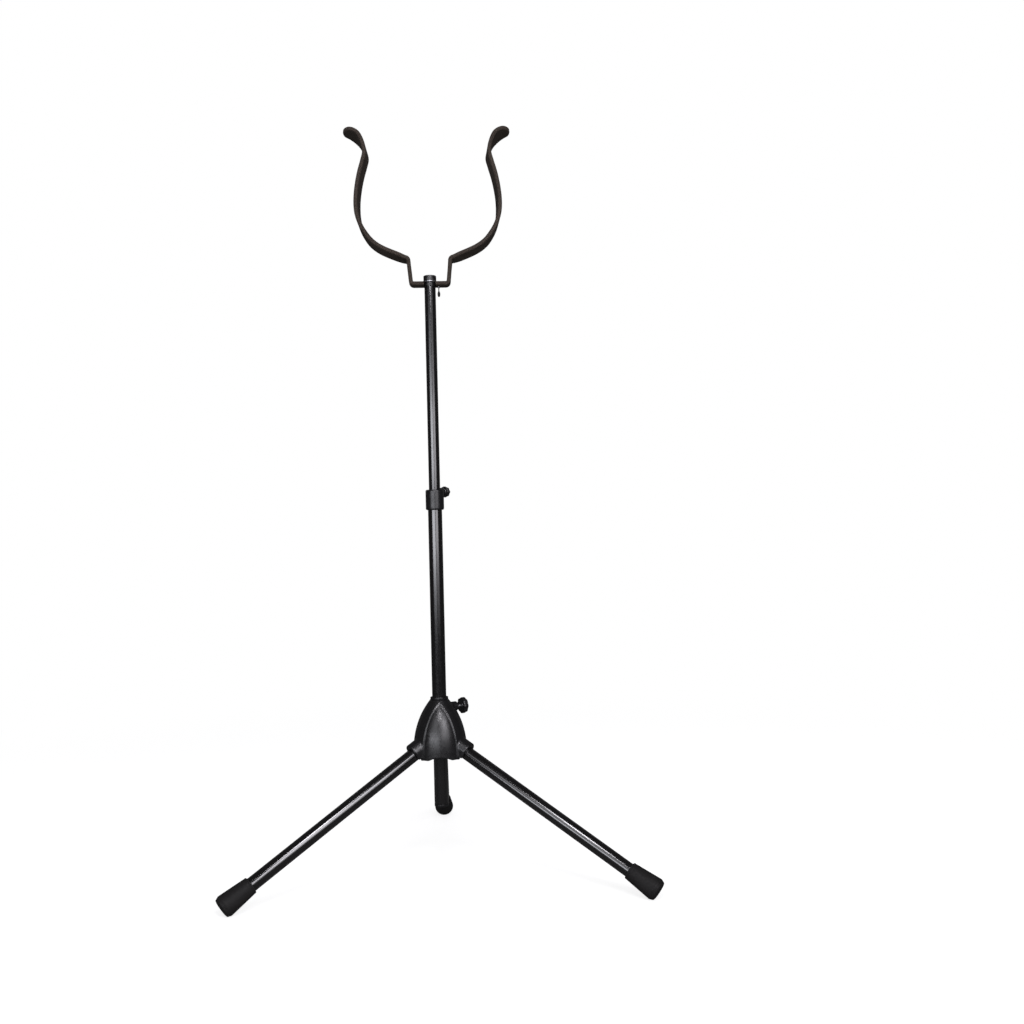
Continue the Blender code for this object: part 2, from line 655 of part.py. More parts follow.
def top_cap_and_washer(parts, carrier):
    """The cap whose stem runs through the washer into the seat and holds the strap down."""
    under = STRAP_BOTTOM + STRAP_THICKNESS + GAP
    washer_top = under + WASHER_THICKNESS
    profile = ((WASHER_BORE, washer_top), (WASHER_RADIUS - 0.3 * MM, washer_top),
               (WASHER_RADIUS, under + 0.5 * MM), (WASHER_RADIUS, under), (WASHER_BORE, under))
    washer = place(turned("cradle_washer", profile, 24), parts, carrier)
    washer.data.materials.append(zinc_steel("washer steel"))

    head = washer_top + GAP
    head_top = head + TOP_CAP_HEAD
    edge = 1.2 * MM
    stem_end = head - CAP_STEM_LENGTH
    profile = ((0.0, head_top), (TOP_CAP_RADIUS - edge, head_top), (TOP_CAP_RADIUS, head_top - edge),
               (TOP_CAP_RADIUS, head), (CAP_STEM, head), (CAP_STEM, stem_end + 1 * MM),
               (CAP_STEM - 1 * MM, stem_end), (0.0, stem_end))
    cap = place(turned("mast_top_cap", profile, 28), parts, carrier)
    cap.data.materials.append(satin_black_plastic("top cap plastic"))


def build_upper_mast(parts, empties, lower):
    guide = empty("height_slide", empties, parent=lower)
    guide_bushing(parts, guide)
    carrier = empty("cradle_swivel", empties, parent=guide)
    upper = tube("upper_tube", UPPER_OUTER, UPPER_WALL, UPPER_BOTTOM, STRAP_BOTTOM - GAP)
    place(upper, parts, carrier)
    upper.data.materials.append(gloss_black_steel("upper tube paint"))
    strap_seat(parts, carrier)
    top_cap_and_washer(parts, carrier)
    return carrier


def smooth_through(points, steps):
    """Points on a curve through the given ones, with a number of steps for each span."""
    result = []
    for i, count in enumerate(steps):
        before = points[max(i - 1, 0)]
        start, end = points[i], points[i + 1]
        after = points[min(i + 2, len(points) - 1)]
        for j in range(count):
            t = j / count
            result.append(0.5 * ((2 * start) + (end - before) * t
                                 + (2 * before - 5 * start + 4 * end - after) * t ** 2
                                 + (3 * start - before - 3 * end + after) * t ** 3))
    result.append(points[-1])
    return result


def rounded_corner(before, corner, after, radius, count):
    """Points of an arc that rounds a corner between two straight runs."""
    incoming = (corner - before).normalized()
    outgoing = (after - corner).normalized()
    turn = incoming.angle(outgoing)
    reach = radius * math.tan(turn / 2)
    start = corner - incoming * reach
    end = corner + outgoing * reach
    points = []
    for i in range(count + 1):
        t = i / count
        points.append((1 - t) ** 2 * start + 2 * t * (1 - t) * corner + t ** 2 * end)
    return points


def half_path():
    """Centre line of the right half of the strap as (x, z), from the mast to the tip."""
    middle = Vector((0.0, 0.0))
    low = Vector((NOTCH_HALF_BOTTOM, 0.0))
    high = Vector((NOTCH_HALF_TOP, NOTCH_DEPTH))
    arm = [Vector((x * MM, z * MM - STRAP_THICKNESS / 2)) for x, z in ARM_POINTS]
    points = [middle, Vector((SEAT_RADIUS + 3 * MM, 0.0))]
    points += rounded_corner(middle, low, high, BEND_RADIUS, 5)
    upper_bend = rounded_corner(low, high, arm[0], BEND_RADIUS, 5)
    leg_start = points[-1]
    points += [leg_start.lerp(upper_bend[0], i / 5) for i in range(1, 5)]
    points += upper_bend
    notch_count = len(points)
    onward = (arm[0] - points[-1]).normalized()
    arm.insert(0, points[-1] + onward * SLEEVE_JOINT)
    steps = [ARM_STEPS] * (len(arm) - 2) + [TIP_STEPS]
    return points + smooth_through(arm, steps), notch_count


def share(value, start, length):
    """How far a value lies along a stretch, from 0 before it to 1 past it."""
    return max(0.0, min(1.0, (value - start) / length))


def strap_twist(length, blend, tip):
    """The strap's turn about its own line: one way on the low arm and the tip, the other between."""
    middle = share(length, TWIST_START, TWIST_LENGTH)
    middle = middle * middle * (3 - 2 * middle)
    return blend * (LOW_TWIST + (MIDDLE_TWIST - LOW_TWIST) * middle) * (1 - tip) + TIP_TWIST * tip


def strap_sections(path, thickness, narrower, side, plain=False):
    """Rings of a rounded flat section along a path of (x, z), with its width, twist and tip."""
    lengths = [0.0]
    for a, b in zip(path, path[1:]):
        lengths.append(lengths[-1] + (b - a).length)
    total = lengths[-1]
    rings = []
    for i, point in enumerate(path):
        along = (path[min(i + 1, len(path) - 1)] - path[max(i - 1, 0)]).normalized()
        out = Vector((along.y, -along.x))
        widening = share(lengths[i], NOTCH_HALF_BOTTOM + NOTCH_DEPTH / 2, WIDENING_LENGTH)
        blend = widening * widening * (3 - 2 * widening)
        tip = share(lengths[i], total - TIP_LENGTH, TIP_LENGTH - TIP_ROUNDING)
        width = NOTCH_WIDTH + (ARM_WIDTH - NOTCH_WIDTH) * blend + (TIP_WIDTH - ARM_WIDTH) * tip
        rounding = share(total - lengths[i], 0.0, TIP_ROUNDING)
        width *= math.sqrt(1 - (1 - rounding) ** 2) * 0.9 + 0.1
        twist = strap_twist(lengths[i], blend, tip)
        ring = []
        for across, through in section_outline(width / 2 - narrower, thickness / 2, plain):
            depth = across * math.cos(twist) - through * math.sin(twist)
            offset = across * math.sin(twist) + through * math.cos(twist)
            x = point.x + out.x * offset
            z = point.y + out.y * offset
            ring.append((side * x, depth, STRAP_BOTTOM + STRAP_THICKNESS / 2 + z))
        rings.append(ring)
    return rings


def section_outline(half_width, half_thickness, plain):
    """A flat bar's section with rounded or plain chamfered edges, as (across, through)."""
    edge = min(half_thickness * 0.8, half_width * 0.6)
    flat = half_width - edge
    lift = half_thickness - edge * 0.45
    quarter = [(flat, half_thickness), (half_width - 0.25 * edge, lift),
               (half_width, 0.25 * half_thickness)]
    if plain:
        quarter.pop(1)
    upper = [(-a, t) for a, t in reversed(quarter)] + quarter
    return upper + [(-a, -t) for a, t in upper]


def skin(work, rings, outwards):
    """Faces between neighbouring rings, and the rings' vertices."""
    loops = [[work.verts.new(co) for co in ring] for ring in rings]
    count = len(rings[0])
    for a, b in zip(loops, loops[1:]):
        for i in range(count):
            j = (i + 1) % count
            face = (a[i], a[j], b[j], b[i])
            work.faces.new(face if outwards else tuple(reversed(face)))
    return loops


def close_mesh(name, work):
    bmesh.ops.recalc_face_normals(work, faces=work.faces)
    if work.calc_volume(signed=True) < 0:
        bmesh.ops.reverse_faces(work, faces=work.faces)
    mesh = bpy.data.meshes.new(name)
    work.to_mesh(mesh)
    work.free()
    return bpy.data.objects.new(name, mesh)


def sleeve(name, outer, inner, closed_tip):
    """A hollow cover from two sets of rings, open at its start and open or closed at its end."""
    work = bmesh.new()
    outer_loops = skin(work, outer, True)
    inner_loops = skin(work, inner, False)
    ends = [(outer_loops[0], inner_loops[0])]
    if closed_tip:
        work.faces.new(outer_loops[-1])
        work.faces.new(inner_loops[-1])
    else:
        ends.append((outer_loops[-1], inner_loops[-1]))
    for big, small in ends:
        for i in range(len(big)):
            j = (i + 1) % len(big)
            work.faces.new((big[i], big[j], small[j], small[i]))
    return close_mesh(name, work)


def mirrored(right, left):
    """Rings from the left end of the strap to its right end, with the middle one once."""
    return list(reversed(left[1:])) + right


def seat_slot_outline():
    """The slot, open at the front, that takes the seat's neck."""
    radius = SEAT_RADIUS + GAP
    front = -NOTCH_WIDTH
    return [(radius, front)] + arc(0.0, 0.0, radius, 0.0, 180.0, 14) + [(-radius, front)]


def cradle_strip(path, slot, parts, carrier):
    """The steel strip inside the sleeves, which ends a little before the tips."""
    narrower = SLEEVE_WALL + STRIP_GAP
    right = strap_sections(path, STEEL_THICKNESS, narrower, 1, True)[:-5]
    left = strap_sections(path, STEEL_THICKNESS, narrower, -1, True)[:-5]
    work = bmesh.new()
    loops = skin(work, mirrored(right, left), True)
    work.faces.new(loops[0])
    work.faces.new(loops[-1])
    strip = place(close_mesh("cradle_strip", work), parts, carrier)
    combine(strip, slot, "DIFFERENCE")
    strip.data.materials.append(zinc_steel("strip steel"))


def build_cradle(parts, cutters, carrier):
    """The strip, the sleeve round its notch and the sleeve on each arm."""
    path, notch_count = half_path()
    hollow = STEEL_THICKNESS + 2 * STRIP_GAP
    slot = slab("strap_slot", seat_slot_outline(), 10 * MM, cutters)
    as_cutter(slot, cutters, carrier, (0, 0, STRAP_BOTTOM))
    cradle_strip(path, slot, parts, carrier)
    outer = {}
    inner = {}
    for name, side in (("right", 1), ("left", -1)):
        outer[name] = strap_sections(path, STRAP_THICKNESS, 0.0, side)
        inner[name] = strap_sections(path, hollow, SLEEVE_WALL, side)
        arm = sleeve("arm_sleeve_" + name, outer[name][notch_count:], inner[name][notch_count:-2], True)
        place(arm, parts, carrier)
        arm.data.materials.append(brown_rubber(name + " arm sleeve rubber"))
    notch_outer = mirrored(outer["right"][:notch_count], outer["left"][:notch_count])
    notch_inner = mirrored(inner["right"][:notch_count], inner["left"][:notch_count])
    notch = place(sleeve("notch_sleeve", notch_outer, notch_inner, False), parts, carrier)
    combine(notch, slot, "DIFFERENCE")
    notch.data.materials.append(brown_rubber("notch sleeve rubber"))


def build_tag(parts, empties, carrier):
    """A stud under the notch, and the small tag that hangs from it."""
    top = STRAP_BOTTOM - GAP
    bottom = STRAP_BOTTOM - STUD_LENGTH
    profile = ((0.0, top), (STUD_RADIUS, top), (STUD_RADIUS, bottom + 0.8 * MM),
               (0.65 * STUD_RADIUS, bottom), (0.0, bottom))
    stud = place(turned("tag_stud", profile, SMALL_ROUND), parts, carrier, location=(STUD_X, 0, 0))
    stud.data.materials.append(zinc_steel("stud steel"))
    swing = empty("tag_swing", empties, (STUD_X, 0, bottom - GAP), parent=carrier)
    stem = 0.37 * TAG_RADIUS
    profile = [(0.0, 0.0), (stem, -0.035 * TAG_LENGTH), (stem, -0.32 * TAG_LENGTH),
               (0.74 * TAG_RADIUS, -0.4 * TAG_LENGTH), (TAG_RADIUS, -0.66 * TAG_LENGTH),
               (0.84 * TAG_RADIUS, -0.86 * TAG_LENGTH), (0.42 * TAG_RADIUS, -0.98 * TAG_LENGTH),
               (0.0, -TAG_LENGTH)]
    tag = place(turned("hanging_tag", profile, SMALL_ROUND), parts, swing)
    tag.data.materials.append(black_rubber("tag rubber"))


def centre_on_footprint(parts, root):
    """Puts the world's origin on the floor at the middle of the stand's box."""
    bpy.context.view_layer.update()
    graph = bpy.context.evaluated_depsgraph_get()
    low = Vector((math.inf, math.inf))
    high = Vector((-math.inf, -math.inf))
    for obj in parts.objects:
        shape = obj.evaluated_get(graph)
        for corner in shape.data.vertices:
            spot = shape.matrix_world @ corner.co
            low = Vector((min(low.x, spot.x), min(low.y, spot.y)))
            high = Vector((max(high.x, spot.x), max(high.y, spot.y)))
    middle = (low + high) / 2
    root.location = (-middle.x, -middle.y, 0)


def main():
    clear_scene()
    parts = new_collection("violin_stand")
    cutters = new_collection("cutters")
    empties = new_collection("axes")
    root = empty("stand_root", empties)
    build_floor_cutter(cutters)
    build_hub(parts, cutters, root)
    build_top_ring(parts, root)
    insert_place = radial(HUB_KNOB_AZIMUTH, HUB_KNOB_HEIGHT, HUB_INSERT_START + GAP)
    threaded_insert("hub_insert", parts, root, insert_place, HUB_INSERT_LENGTH)
    knob_place = radial(HUB_KNOB_AZIMUTH, HUB_KNOB_HEIGHT)
    axis = empty("hub_knob_axis", empties, parent=root, **knob_place)
    knob_set("hub", parts, cutters, axis, HUB_KNOB_RADIUS, LOWER_OUTER + GAP, HUB_KNOB_INNER)
    for number, (azimuth, pin_turn) in enumerate(zip(LEG_AZIMUTHS, PIN_TURNS), 1):
        build_leg(number, azimuth, pin_turn, parts, cutters, empties, root)
    lower = build_lower_mast(parts, cutters, empties, root)
    upper = build_upper_mast(parts, empties, lower)
    build_cradle(parts, cutters, upper)
    build_tag(parts, empties, upper)
    centre_on_footprint(parts, root)


main()
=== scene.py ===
"""Looks of the folding violin stand: finishes, fine surfaces, studio and camera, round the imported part."""
import json
import math

import bmesh
import bpy
import numpy as np
from mathutils import Matrix, Vector


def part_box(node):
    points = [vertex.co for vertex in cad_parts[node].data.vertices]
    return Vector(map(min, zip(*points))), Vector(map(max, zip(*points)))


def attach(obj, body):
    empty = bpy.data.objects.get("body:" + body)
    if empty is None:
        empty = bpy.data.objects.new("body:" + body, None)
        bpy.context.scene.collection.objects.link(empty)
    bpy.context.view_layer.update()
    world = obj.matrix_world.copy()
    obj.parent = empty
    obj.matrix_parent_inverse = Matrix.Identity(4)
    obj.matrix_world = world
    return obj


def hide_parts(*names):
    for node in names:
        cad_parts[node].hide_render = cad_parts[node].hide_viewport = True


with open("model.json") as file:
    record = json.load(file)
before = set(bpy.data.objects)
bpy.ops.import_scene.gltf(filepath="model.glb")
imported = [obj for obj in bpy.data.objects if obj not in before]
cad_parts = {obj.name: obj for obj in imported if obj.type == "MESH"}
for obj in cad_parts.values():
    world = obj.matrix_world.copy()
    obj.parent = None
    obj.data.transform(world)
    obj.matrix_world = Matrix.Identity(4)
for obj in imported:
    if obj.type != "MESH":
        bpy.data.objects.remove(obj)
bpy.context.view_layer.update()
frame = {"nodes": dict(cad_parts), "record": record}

MM = 0.001
OPTIC_SENSOR = 36.0

# Camera: place in metres, turns in degrees, focal length for a frame 1024 pixels wide
FRAME_PIXELS = 1024
CAMERA_PLACE = (0.022, -1.766, 0.506)
CAMERA_YAW = 2.98
CAMERA_PITCH = 0.09
CAMERA_ROLL = -1.3
FOCAL_PIXELS = 1180.7

# Studio
FLOOR_RADIUS = 6.0
FLOOR_CLEAR = 0.7
FLOOR_FADE = 1.6
FLOOR_BODY = 0.45
FLOOR_BODY_IN_GLOSS = 0.06
FLOOR_GLOW = 0.77
FLOOR_IN_GLOSS = 0.03
AMBIENT = 0.3
DIM_WALL = 0.02
WALL_IN_GLOSS = 0.07
WALL_START = 0.3
WALL_FULL = 0.75
LAMP_SLOPES = ((0.006, 0.112, 0.65), (-0.028, 0.169, 0.26), (-0.07, 0.24, 0.09))

# Shapes shared by the fine pieces
ROUND = 128
SMALL_ROUND = 64
FILLET_STEPS = 5
SMOOTH_ANGLE = 35.0
PASS = 0.1 * MM

# Threads, knobs and feet
THREAD_PITCH = 0.7 * MM
THREAD_DEPTH = 0.42 * MM
THREAD_STEPS = 8
KNOB_LOBES = 8
KNOB_SCALLOP = 0.09
KNOB_EDGE = 1.5 * MM
KNOB_DISH = 0.7 * MM
FOOT_ROUNDING = 5.3 * MM
FOOT_NECK = 12.0 * MM
FOOT_BEAD = 1.1 * MM

# Hub, with heights from the floor and the rest from the mast's axis
HUB_STEP = 0.62 * MM
HUB_BOTTOM = 163 * MM
HUB_TOP = 244.5 * MM
HUB_NECK = 12.8 * MM
HUB_BORE = 10.3 * MM
CORNER_RADIUS = 38.87 * MM
PANEL_RADIUS = 37.5 * MM
PANEL_DEPTH = 0.8 * MM
DOME_POWER = 2.5
HOUSING_HALF = 13.9 * MM
ARCH_RADIUS = 31.0 * MM
ARCH_HEIGHT = 4.5 * MM
ARCH_START = 22 * MM
LEG_SPACE = 9.8 * MM
HOOD_RADIUS = 13.5 * MM
HOOD_RISE = 2.2 * MM
HOOD_SKIRT = 6 * MM
HOOD_END = 21.7 * MM
BOSS_RADIUS = 6.9 * MM
BOSS_END = 27.7 * MM
HUB_SEAT_START = 20.3 * MM
SCREW_HOLE = 2.3 * MM
INSERT_HOLE = 3.8 * MM

# Height collar
COLLAR_STEP = 0.42 * MM
COLLAR_RADIUS = 13.0 * MM
COLLAR_BOTTOM = 514 * MM
COLLAR_TOP = 543 * MM
COLLAR_LEDGE = 527.3 * MM
COLLAR_NARROW = 8.3 * MM
LUG_START = 9.3 * MM
LUG_END = 21.9 * MM
LUG_HALF_WIDTH = 5.1 * MM
COLLAR_SEAT_START = 15 * MM

# Cradle's strap, in the XZ plane, from the underside of its notch
STRAP_BOTTOM = 833 * MM
STRAP_THICKNESS = 5.7 * MM
STRIP_SPACE = 2.9 * MM
SLEEVE_WALL = 1.0 * MM
SLEEVE_JOINT = 0.3 * MM
NOTCH_WIDTH = 24 * MM
ARM_WIDTH = 38.5 * MM
TIP_WIDTH = 50 * MM
TIP_ROUNDING = 24 * MM
TIP_EDGE = 2.4 * MM
WIDENING_LENGTH = 34 * MM
TIP_LENGTH = 54 * MM
LOW_TWIST = math.radians(2.7)
MIDDLE_TWIST = math.radians(-3.3)
TIP_TWIST = math.radians(3.0)
TWIST_START = 115 * MM
TWIST_LENGTH = 60 * MM
NOTCH_HALF_BOTTOM = 26.5 * MM
NOTCH_HALF_TOP = 29.9 * MM
NOTCH_DEPTH = 35 * MM
BEND_RADIUS = 4.8 * MM
BEND_STEPS = 12
ARM_POINTS = ((39.5, 40.9), (65.3, 51.7), (80.3, 62.0), (90.2, 75.0), (96.4, 87.5),
              (99.9, 100.0), (101.0, 113.0), (100.4, 128.0), (98.1, 144.5), (94.6, 160.5),
              (90.4, 175.0), (87.5, 188.0), (90.6, 201.0), (97.5, 212.4), (108.0, 219.2),
              (118.5, 219.9))
ARM_STEPS = 8
TIP_STEPS = 18
SEAT_SPACE = 8.2 * MM

CELL_CORNERS = [(i, j, k) for i in (0, 1) for j in (0, 1) for k in (0, 1)]


def node(tree, kind, **values):
    """A node with its settings, and with the defaults of the inputs that are named."""
    made = tree.nodes.new(kind)
    for key, value in values.items():
        if hasattr(made, key):
            setattr(made, key, value)
        else:
            made.inputs[key.replace("_", " ")].default_value = value
    return made


def link(tree, start, end):
    tree.links.new(start, end)


def new_material(name):
    mat = bpy.data.materials.new(name)
    mat.use_nodes = True
    tree = mat.node_tree
    shader = tree.nodes["Principled BSDF"]
    place = node(tree, "ShaderNodeTexCoord")
    return mat, tree, shader, place.outputs["Object"]


def noise(tree, place, scale, detail=2.0, roughness=0.5):
    made = node(tree, "ShaderNodeTexNoise", Scale=scale, Detail=detail, Roughness=roughness)
    link(tree, place, made.inputs["Vector"])
    return made.outputs["Fac"]


def ramp(tree, value, low, high, start=0.35, end=0.65):
    """A number or colour that goes from low to high as the value goes from start to end."""
    made = node(tree, "ShaderNodeMapRange", From_Min=start, From_Max=end, To_Min=low, To_Max=high)
    link(tree, value, made.inputs["Value"])
    return made.outputs["Result"]


def two_tone(tree, value, dark, light):
    mix = tree.nodes.new("ShaderNodeMix")
    mix.data_type = "RGBA"
    colour_a, colour_b = (s for s in mix.inputs if s.type == "RGBA")
    colour_a.default_value = (*dark, 1.0)
    colour_b.default_value = (*light, 1.0)
    link(tree, value, mix.inputs["Factor"])
    return next(s for s in mix.outputs if s.type == "RGBA")


def bump(tree, height, distance, strength=1.0, under=None):
    made = node(tree, "ShaderNodeBump", Distance=distance, Strength=strength)
    link(tree, height, made.inputs["Height"])
    if under is not None:
        link(tree, under, made.inputs["Normal"])
    return made.outputs["Normal"]


def gloss_paint():
    """Black enamel on drawn steel: slight orange peel, handling marks and fine dust in the gloss."""
    mat, tree, shader, place = new_material("gloss black paint")
    patches = noise(tree, place, 26.0, 3.0)
    link(tree, two_tone(tree, patches, (0.0042, 0.0038, 0.004), (0.0066, 0.006, 0.0064)),
         shader.inputs["Base Color"])
    marks = noise(tree, place, 160.0, 5.0, 0.65)
    link(tree, ramp(tree, marks, 0.16, 0.22), shader.inputs["Roughness"])
    peel = bump(tree, noise(tree, place, 260.0, 1.0), 0.000004)
    dust = bump(tree, noise(tree, place, 1500.0, 2.0, 0.7), 0.0000004, under=peel)
    link(tree, dust, shader.inputs["Normal"])
    shader.inputs["IOR"].default_value = 1.7
    shader.inputs["Coat Weight"].default_value = 1.0
    shader.inputs["Coat Roughness"].default_value = 0.12
    shader.inputs["Coat IOR"].default_value = 1.6
    return mat


def moulded_plastic(name, tone=1.0, matte=0.0):
    """Satin black plastic with the fine even grain of its mould and faint flow marks."""
    mat, tree, shader, place = new_material(name)
    flow = noise(tree, place, 55.0, 3.0, 0.6)
    dark = tuple(c * tone for c in (0.0056, 0.0054, 0.0059))
    light = tuple(c * tone for c in (0.0096, 0.0092, 0.01))
    link(tree, two_tone(tree, flow, dark, light), shader.inputs["Base Color"])
    rub = noise(tree, place, 240.0, 4.0, 0.6)
    link(tree, ramp(tree, rub, 0.27 + matte, 0.35 + matte), shader.inputs["Roughness"])
    grain = bump(tree, noise(tree, place, 3600.0, 2.0, 0.6), 0.00002)
    sink = bump(tree, noise(tree, place, 90.0, 1.0), 0.00006, under=grain)
    link(tree, sink, shader.inputs["Normal"])
    shader.inputs["IOR"].default_value = 1.7
    return mat


def rubber(name, dark, light, rough, grain_size, grain_depth):
    """Moulded rubber: pebbled grain, uneven bloom, no clear highlight."""
    mat, tree, shader, place = new_material(name)
    bloom = noise(tree, place, 38.0, 4.0, 0.6)
    fleck = noise(tree, place, 900.0, 2.0, 0.7)
    blend = node(tree, "ShaderNodeMath", operation="MULTIPLY_ADD")
    blend.inputs[1].default_value = 0.55
    link(tree, fleck, blend.inputs[0])
    link(tree, ramp(tree, bloom, 0.0, 0.45), blend.inputs[2])
    link(tree, two_tone(tree, blend.outputs[0], dark, light), shader.inputs["Base Color"])
    link(tree, ramp(tree, bloom, rough - 0.07, rough + 0.07), shader.inputs["Roughness"])
    pebbles = node(tree, "ShaderNodeTexVoronoi", feature="SMOOTH_F1", Scale=1.0 / grain_size)
    link(tree, place, pebbles.inputs["Vector"])
    coarse = bump(tree, pebbles.outputs["Distance"], grain_depth)
    fine = bump(tree, noise(tree, place, 4200.0, 2.0, 0.7), grain_depth * 0.5, under=coarse)
    link(tree, fine, shader.inputs["Normal"])
    shader.inputs["Specular IOR Level"].default_value = 0.16
    return mat


def plated_steel(name, dark, light, rough):
    """Plated metal with a cloudy bright layer and fine turning lines."""
    mat, tree, shader, place = new_material(name)
    cloud = noise(tree, place, 210.0, 4.0, 0.6)
    link(tree, two_tone(tree, cloud, dark, light), shader.inputs["Base Color"])
    link(tree, ramp(tree, cloud, rough, rough + 0.14), shader.inputs["Roughness"])
    stretch = node(tree, "ShaderNodeMapping", Scale=(0.15, 0.15, 6.0))
    link(tree, place, stretch.inputs["Vector"])
    lines = bump(tree, noise(tree, stretch.outputs["Vector"], 900.0, 3.0, 0.7), 0.00001)
    link(tree, lines, shader.inputs["Normal"])
    shader.inputs["Metallic"].default_value = 1.0
    return mat


def make_finishes():
    return {
        "gloss_black_paint": gloss_paint(),
        "black_plastic": moulded_plastic("satin black plastic"),
        "foot_rubber": rubber("foot rubber", (0.0095, 0.009, 0.009), (0.021, 0.02, 0.02), 0.55,
                              0.9 * MM, 0.00003),
        "sleeve_rubber": rubber("sleeve rubber", (0.03, 0.0225, 0.018), (0.056, 0.045, 0.037), 0.78,
                                0.55 * MM, 0.00004),
        "zinc_steel": plated_steel("zinc plate", (0.42, 0.42, 0.44), (0.62, 0.62, 0.63), 0.3),
        "insert_brass": plated_steel("brass", (0.5, 0.35, 0.14), (0.72, 0.54, 0.25), 0.28),
        "tag_rubber": rubber("tag rubber", (0.008, 0.008, 0.008), (0.018, 0.017, 0.017), 0.4,
                             0.7 * MM, 0.00002),
    }


def slots_by_node():
    """The material slot that the record gives each node."""
    return {row["node"]: row["material_slot"] for row in frame["record"]["subparts"]}


def bodies_by_node():
    bodies = frame["record"]["behaviour"]["bodies"]
    return {name: body for body, names in bodies.items() for name in names}


def dress_nodes():
    for name, obj in frame["nodes"].items():
        obj.data.materials.clear()
        obj.data.materials.append(finishes[slot_of_node[name]])


def node_points(name):
    mesh = frame["nodes"][name].data
    flat = np.empty(len(mesh.vertices) * 3)
    mesh.vertices.foreach_get("co", flat)
    return flat.reshape(-1, 3)


def measured(name, line):
    """How far a node reaches along a line from its start, and its least and greatest radius."""
    start, along = (np.array(v) for v in line)
    away = node_points(name) - start
    lengths = away @ along
    radii = np.linalg.norm(away - np.outer(lengths, along), axis=1)
    return float(lengths.min()), float(lengths.max()), float(radii.min()), float(radii.max())


def mast_line():
    """The mast's axis, up from the floor."""
    low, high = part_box("upper_tube")
    return Vector(((low[0] + high[0]) / 2, (low[1] + high[1]) / 2, 0.0)), Vector((0.0, 0.0, 1.0))


def joint_line(name):
    """A hinge's place and axis from the record."""
    row = next(j for j in frame["record"]["behaviour"]["joints"] if j["name"] == name)
    return Vector(row["pos_m"]), Vector(row["axis"]).normalized()


def leg_line(number):
    """A leg's centre line, from its pin to its foot."""
    pivot = joint_line("leg_%d_fold" % number)[0]
    middle = Vector(node_points("leg_tube_%d" % number).mean(axis=0))
    return pivot, (middle - pivot).normalized()


def on_line(line):
    """The turn and place that send an object's own Z along a line."""
    start, along = line
    return Matrix.Translation(start) @ along.to_track_quat("Z", "Y").to_matrix().to_4x4()


def rounded(corners):
    """Points of an outline of (radius, height, fillet) corners, which is closed if it has no centre."""
    closed = corners[0][0] > 0 and corners[-1][0] > 0
    count = len(corners)
    points = []
    for i, (radius, height, fillet) in enumerate(corners):
        corner = Vector((radius, height))
        if fillet == 0 or (not closed and i in (0, count - 1)):
            points.append(corner)
            continue
        before = Vector(corners[i - 1][:2]) - corner
        after = Vector(corners[(i + 1) % count][:2]) - corner
        reach = fillet / math.tan(before.angle(after) / 2)
        reach = min(reach, 0.49 * before.length, 0.49 * after.length)
        start = corner + before.normalized() * reach
        end = corner + after.normalized() * reach
        for step in range(FILLET_STEPS + 1):
            t = step / FILLET_STEPS
            points.append((1 - t) ** 2 * start + 2 * t * (1 - t) * corner + t ** 2 * end)
    return points, closed


def lathe(corners, steps=ROUND, lobes=0, scallop=0.0):
    """An outline turned about Z, with its rim drawn in between lobes where there are any."""
    points, closed = rounded(corners)
    widest = max(point.x for point in points)
    work = bmesh.new()
    rings = []
    for point in points:
        if point.x < PASS / 100:
            rings.append([work.verts.new((0.0, 0.0, point.y))])
            continue
        ring = []
        for i in range(steps):
            angle = 2 * math.pi * i / steps
            rim = max(0.0, (point.x / widest - 0.6) / 0.4)
            reach = point.x * (1 - scallop * rim * (1 - math.cos(lobes * angle)) / 2)
            ring.append(work.verts.new((reach * math.cos(angle), reach * math.sin(angle), point.y)))
        rings.append(ring)
    pairs = list(zip(rings, rings[1:]))
    if closed:
        pairs.append((rings[-1], rings[0]))
    for a, b in pairs:
        for i in range(steps):
            j = (i + 1) % steps
            corners_of_face = [a[i % len(a)], a[j % len(a)], b[j % len(b)], b[i % len(b)]]
            work.faces.new(list(dict.fromkeys(corners_of_face)))
    bmesh.ops.recalc_face_normals(work, faces=work.faces)
    return work


def piece(node_name, work, line=None, smooth=SMOOTH_ANGLE):
    """A fine piece that stands for a node: it takes the finish of the node's slot and rides on the node's
    body.
    """
    if line is not None:
        bmesh.ops.transform(work, matrix=on_line(line), verts=work.verts)
    mesh = bpy.data.meshes.new(node_name + "_fine")
    work.to_mesh(mesh)
    work.free()
    obj = bpy.data.objects.new(node_name + "_fine", mesh)
    bpy.context.scene.collection.objects.link(obj)
    return settle(node_name, obj, smooth)


def settle(node_name, obj, smooth=SMOOTH_ANGLE):
    obj.data.shade_smooth()
    obj.data.set_sharp_from_angle(angle=math.radians(smooth))
    slot = slot_of_node[node_name]
    obj.data.materials.clear()
    obj.data.materials.append(finishes[slot])
    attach(obj, body_of_node[node_name])
    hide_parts(node_name)
    return obj


def tube_piece(name, line, edge=0.45 * MM):
    """A drawn tube with its wall's edges rolled off at both ends."""
    low, high, inner, outer = measured(name, line)
    corners = ((inner, high, edge), (outer, high, edge), (outer, low, edge), (inner, low, edge))
    piece(name, lathe(corners), line)


def ring_piece(name, line, edge):
    low, high, inner, outer = measured(name, line)
    corners = ((inner, high, edge), (outer, high, edge), (outer, low, edge), (inner, low, edge))
    piece(name, lathe(corners), line)


